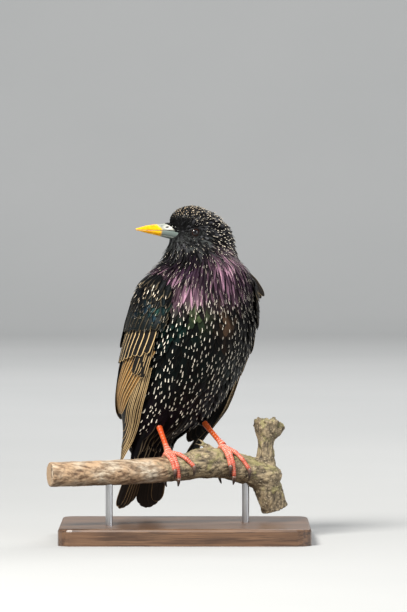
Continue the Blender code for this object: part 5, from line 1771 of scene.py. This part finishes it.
# cut faces stay flat
left = places[:, 0] < perchEnds[0] + 0.5
ends = left | ((places[:, 2] < perch["branchEnd"][1] + 0.9) & (outward[:, 2] < -0.8))
lift = np.where(ends, 0.06 * lift, lift)
setVertices(branch, places + outward * lift[:, None])
middle = np.where(left[:, None], perchAxis(perchEnds[0])[0], frontPoint(*perch["branchEnd"]))
around = np.linalg.norm((places - middle)[:, 1:], axis=1)
around = np.where(left, around, np.linalg.norm((places - middle)[:, :2], axis=1))
faceOn = ends & (around < np.where(left, 6.4, 6.8))
lichen = smoothShare(places[:, 0], -2.0, 12.0) * smoothShare(outward[:, 2], -0.5, 0.6)
setColour(branch, "bark", marks(np.where(faceOn, 0, groove), faceOn, around, lichen))
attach(branch, "root")
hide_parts("perch")
print("branch", len(places))

# The stand keeps its solids and gets finer finishes


def standWoodMaterial():
    material, tree, shader = newMaterial("standWood")
    warp = cloud(tree, 18.0, 3.0)
    grain = cloud(tree, 900.0, 5.0, stretch=(0.035, 1.0, 1.0), roughness=0.7)
    bands = cloud(tree, 60.0, 2.0, stretch=(0.12, 1.0, 1.0))
    bands = calc(tree, "SINE", calc(tree, "MULTIPLY_ADD", bands, 30.0, calc(tree, "MULTIPLY", warp, 8.0)))
    pores = cloud(tree, 2200.0, 2.0, stretch=(0.02, 1.0, 1.0))
    colour = tint(tree, spread(tree, bands, -1.0, 1.0), (0.055, 0.026, 0.013), (0.115, 0.058, 0.029))
    colour = tint(tree, spread(tree, grain, 0.42, 0.68), colour, (0.165, 0.088, 0.045))
    colour = tint(tree, spread(tree, pores, 0.62, 0.7), colour, (0.020, 0.010, 0.006))
    setInputs(tree, shader, {
        "Base Color": colour, "Roughness": calc(tree, "MULTIPLY_ADD", grain, 0.2, 0.3),
        "Coat Weight": 0.25, "Coat Roughness": 0.25,
    })
    relief(tree, shader, grain, 0.12, 0.0002)
    return material


def steelMaterial():
    material, tree, shader = newMaterial("brushedSteel")
    brushed = cloud(tree, 1500.0, 3.0, stretch=(1.0, 1.0, 0.02))
    colour = tint(tree, brushed, (0.42, 0.42, 0.43), (0.62, 0.62, 0.62))
    rough = calc(tree, "MULTIPLY_ADD", brushed, 0.2, 0.24)
    setInputs(tree, shader, {"Base Color": colour, "Metallic": 1.0, "Roughness": rough})
    relief(tree, shader, brushed, 0.1, 0.00005)
    return material


standFinishes = {"stand_base": standWoodMaterial(), "stand_rod_left": steelMaterial()}
standFinishes["stand_rod_right"] = standFinishes["stand_rod_left"]
for name, finish in standFinishes.items():
    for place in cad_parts[name].material_slots:
        place.material = finish
print("stand")

# View

view = {"middle": (10.4, 0.0, 130.9), "height": 342.7, "distance": 3000.0, "rise": 1.5, "sensor": 24.0}
sky = {"colour": (0.78, 0.82, 0.87, 1.0), "strength": 0.38}
world = bpy.data.worlds.new("studio")
bpy.context.scene.world = world
world.use_nodes = True
bpy.context.scene.view_settings.view_transform = "Standard"
world.node_tree.nodes["Background"].inputs["Color"].default_value = sky["colour"]
world.node_tree.nodes["Background"].inputs["Strength"].default_value = sky["strength"]


def areaLight(name, place, aim, size, watts, colour):
    # places and sizes are metres
    lamp = bpy.data.lights.new(name, "AREA")
    lamp.shape = "DISK"
    lamp.size = size
    lamp.energy = watts
    lamp.color = colour
    item = placed(name, lamp)
    item.location = place
    item.rotation_euler = (Vector(aim) - Vector(place)).to_track_quat("-Z", "Y").to_euler()


areaLight("keyLight", (-0.42, -0.75, 0.95), (0.01, 0.0, 0.12), 0.4, 30.0, (1.0, 0.98, 0.94))
areaLight("fillLight", (0.9, -0.7, 0.35), (0.01, 0.0, 0.12), 0.7, 5.0, (0.92, 0.96, 1.0))
areaLight("rimLight", (0.6, 0.7, 0.8), (0.01, 0.0, 0.14), 0.5, 6.0, (1.0, 0.98, 0.95))
areaLight("backdropLight", (0.0, 1.5, 2.3), (0.0, 3.6, 0.3), 2.0, 95.0, (1.0, 1.0, 1.0))

# a pale floor that curves up into the backdrop
studio = {
    "front": -4200.0, "bendStart": 3600.0, "bendRadius": 900.0, "top": 4200.0, "halfWidth": 5200.0, "drop": 0.05,
}
floorMaterial, floorTree, floorShader = newMaterial("paleFloor")
floorColour = tint(floorTree, cloud(floorTree, 3.0), (0.36, 0.365, 0.36), (0.40, 0.40, 0.395))
setInputs(floorTree, floorShader, {"Base Color": floorColour, "Roughness": 0.85})
back, bend = studio["bendStart"], studio["bendRadius"]
profile = [(studio["front"], 0.0)]
profile += [(back + bend * math.sin(a), bend * (1 - math.cos(a))) for a in np.linspace(0, math.pi / 2, 24)]
profile += [(back + bend, studio["top"])]
edges = (-studio["halfWidth"], studio["halfWidth"])
floorGrid = np.array([[(x, y, z - studio["drop"]) for x in edges] for y, z in profile])
floor = meshFrom("floor", floorGrid.reshape(-1, 3), gridFaces(len(profile), 2, closed=False), floorMaterial)

camera = placed("camera", bpy.data.cameras.new("camera"))
middle = Vector(view["middle"]) * mm
rise = math.radians(view["rise"])
camera.location = middle + Vector((0.0, -math.cos(rise), math.sin(rise))) * view["distance"] * mm
camera.rotation_euler = (middle - camera.location).to_track_quat("-Z", "Y").to_euler()
camera.data.sensor_fit = "VERTICAL"
camera.data.sensor_height = view["sensor"]
camera.data.lens = view["sensor"] * view["distance"] / view["height"]
camera.data.clip_end = 20.0
bpy.context.scene.camera = camera
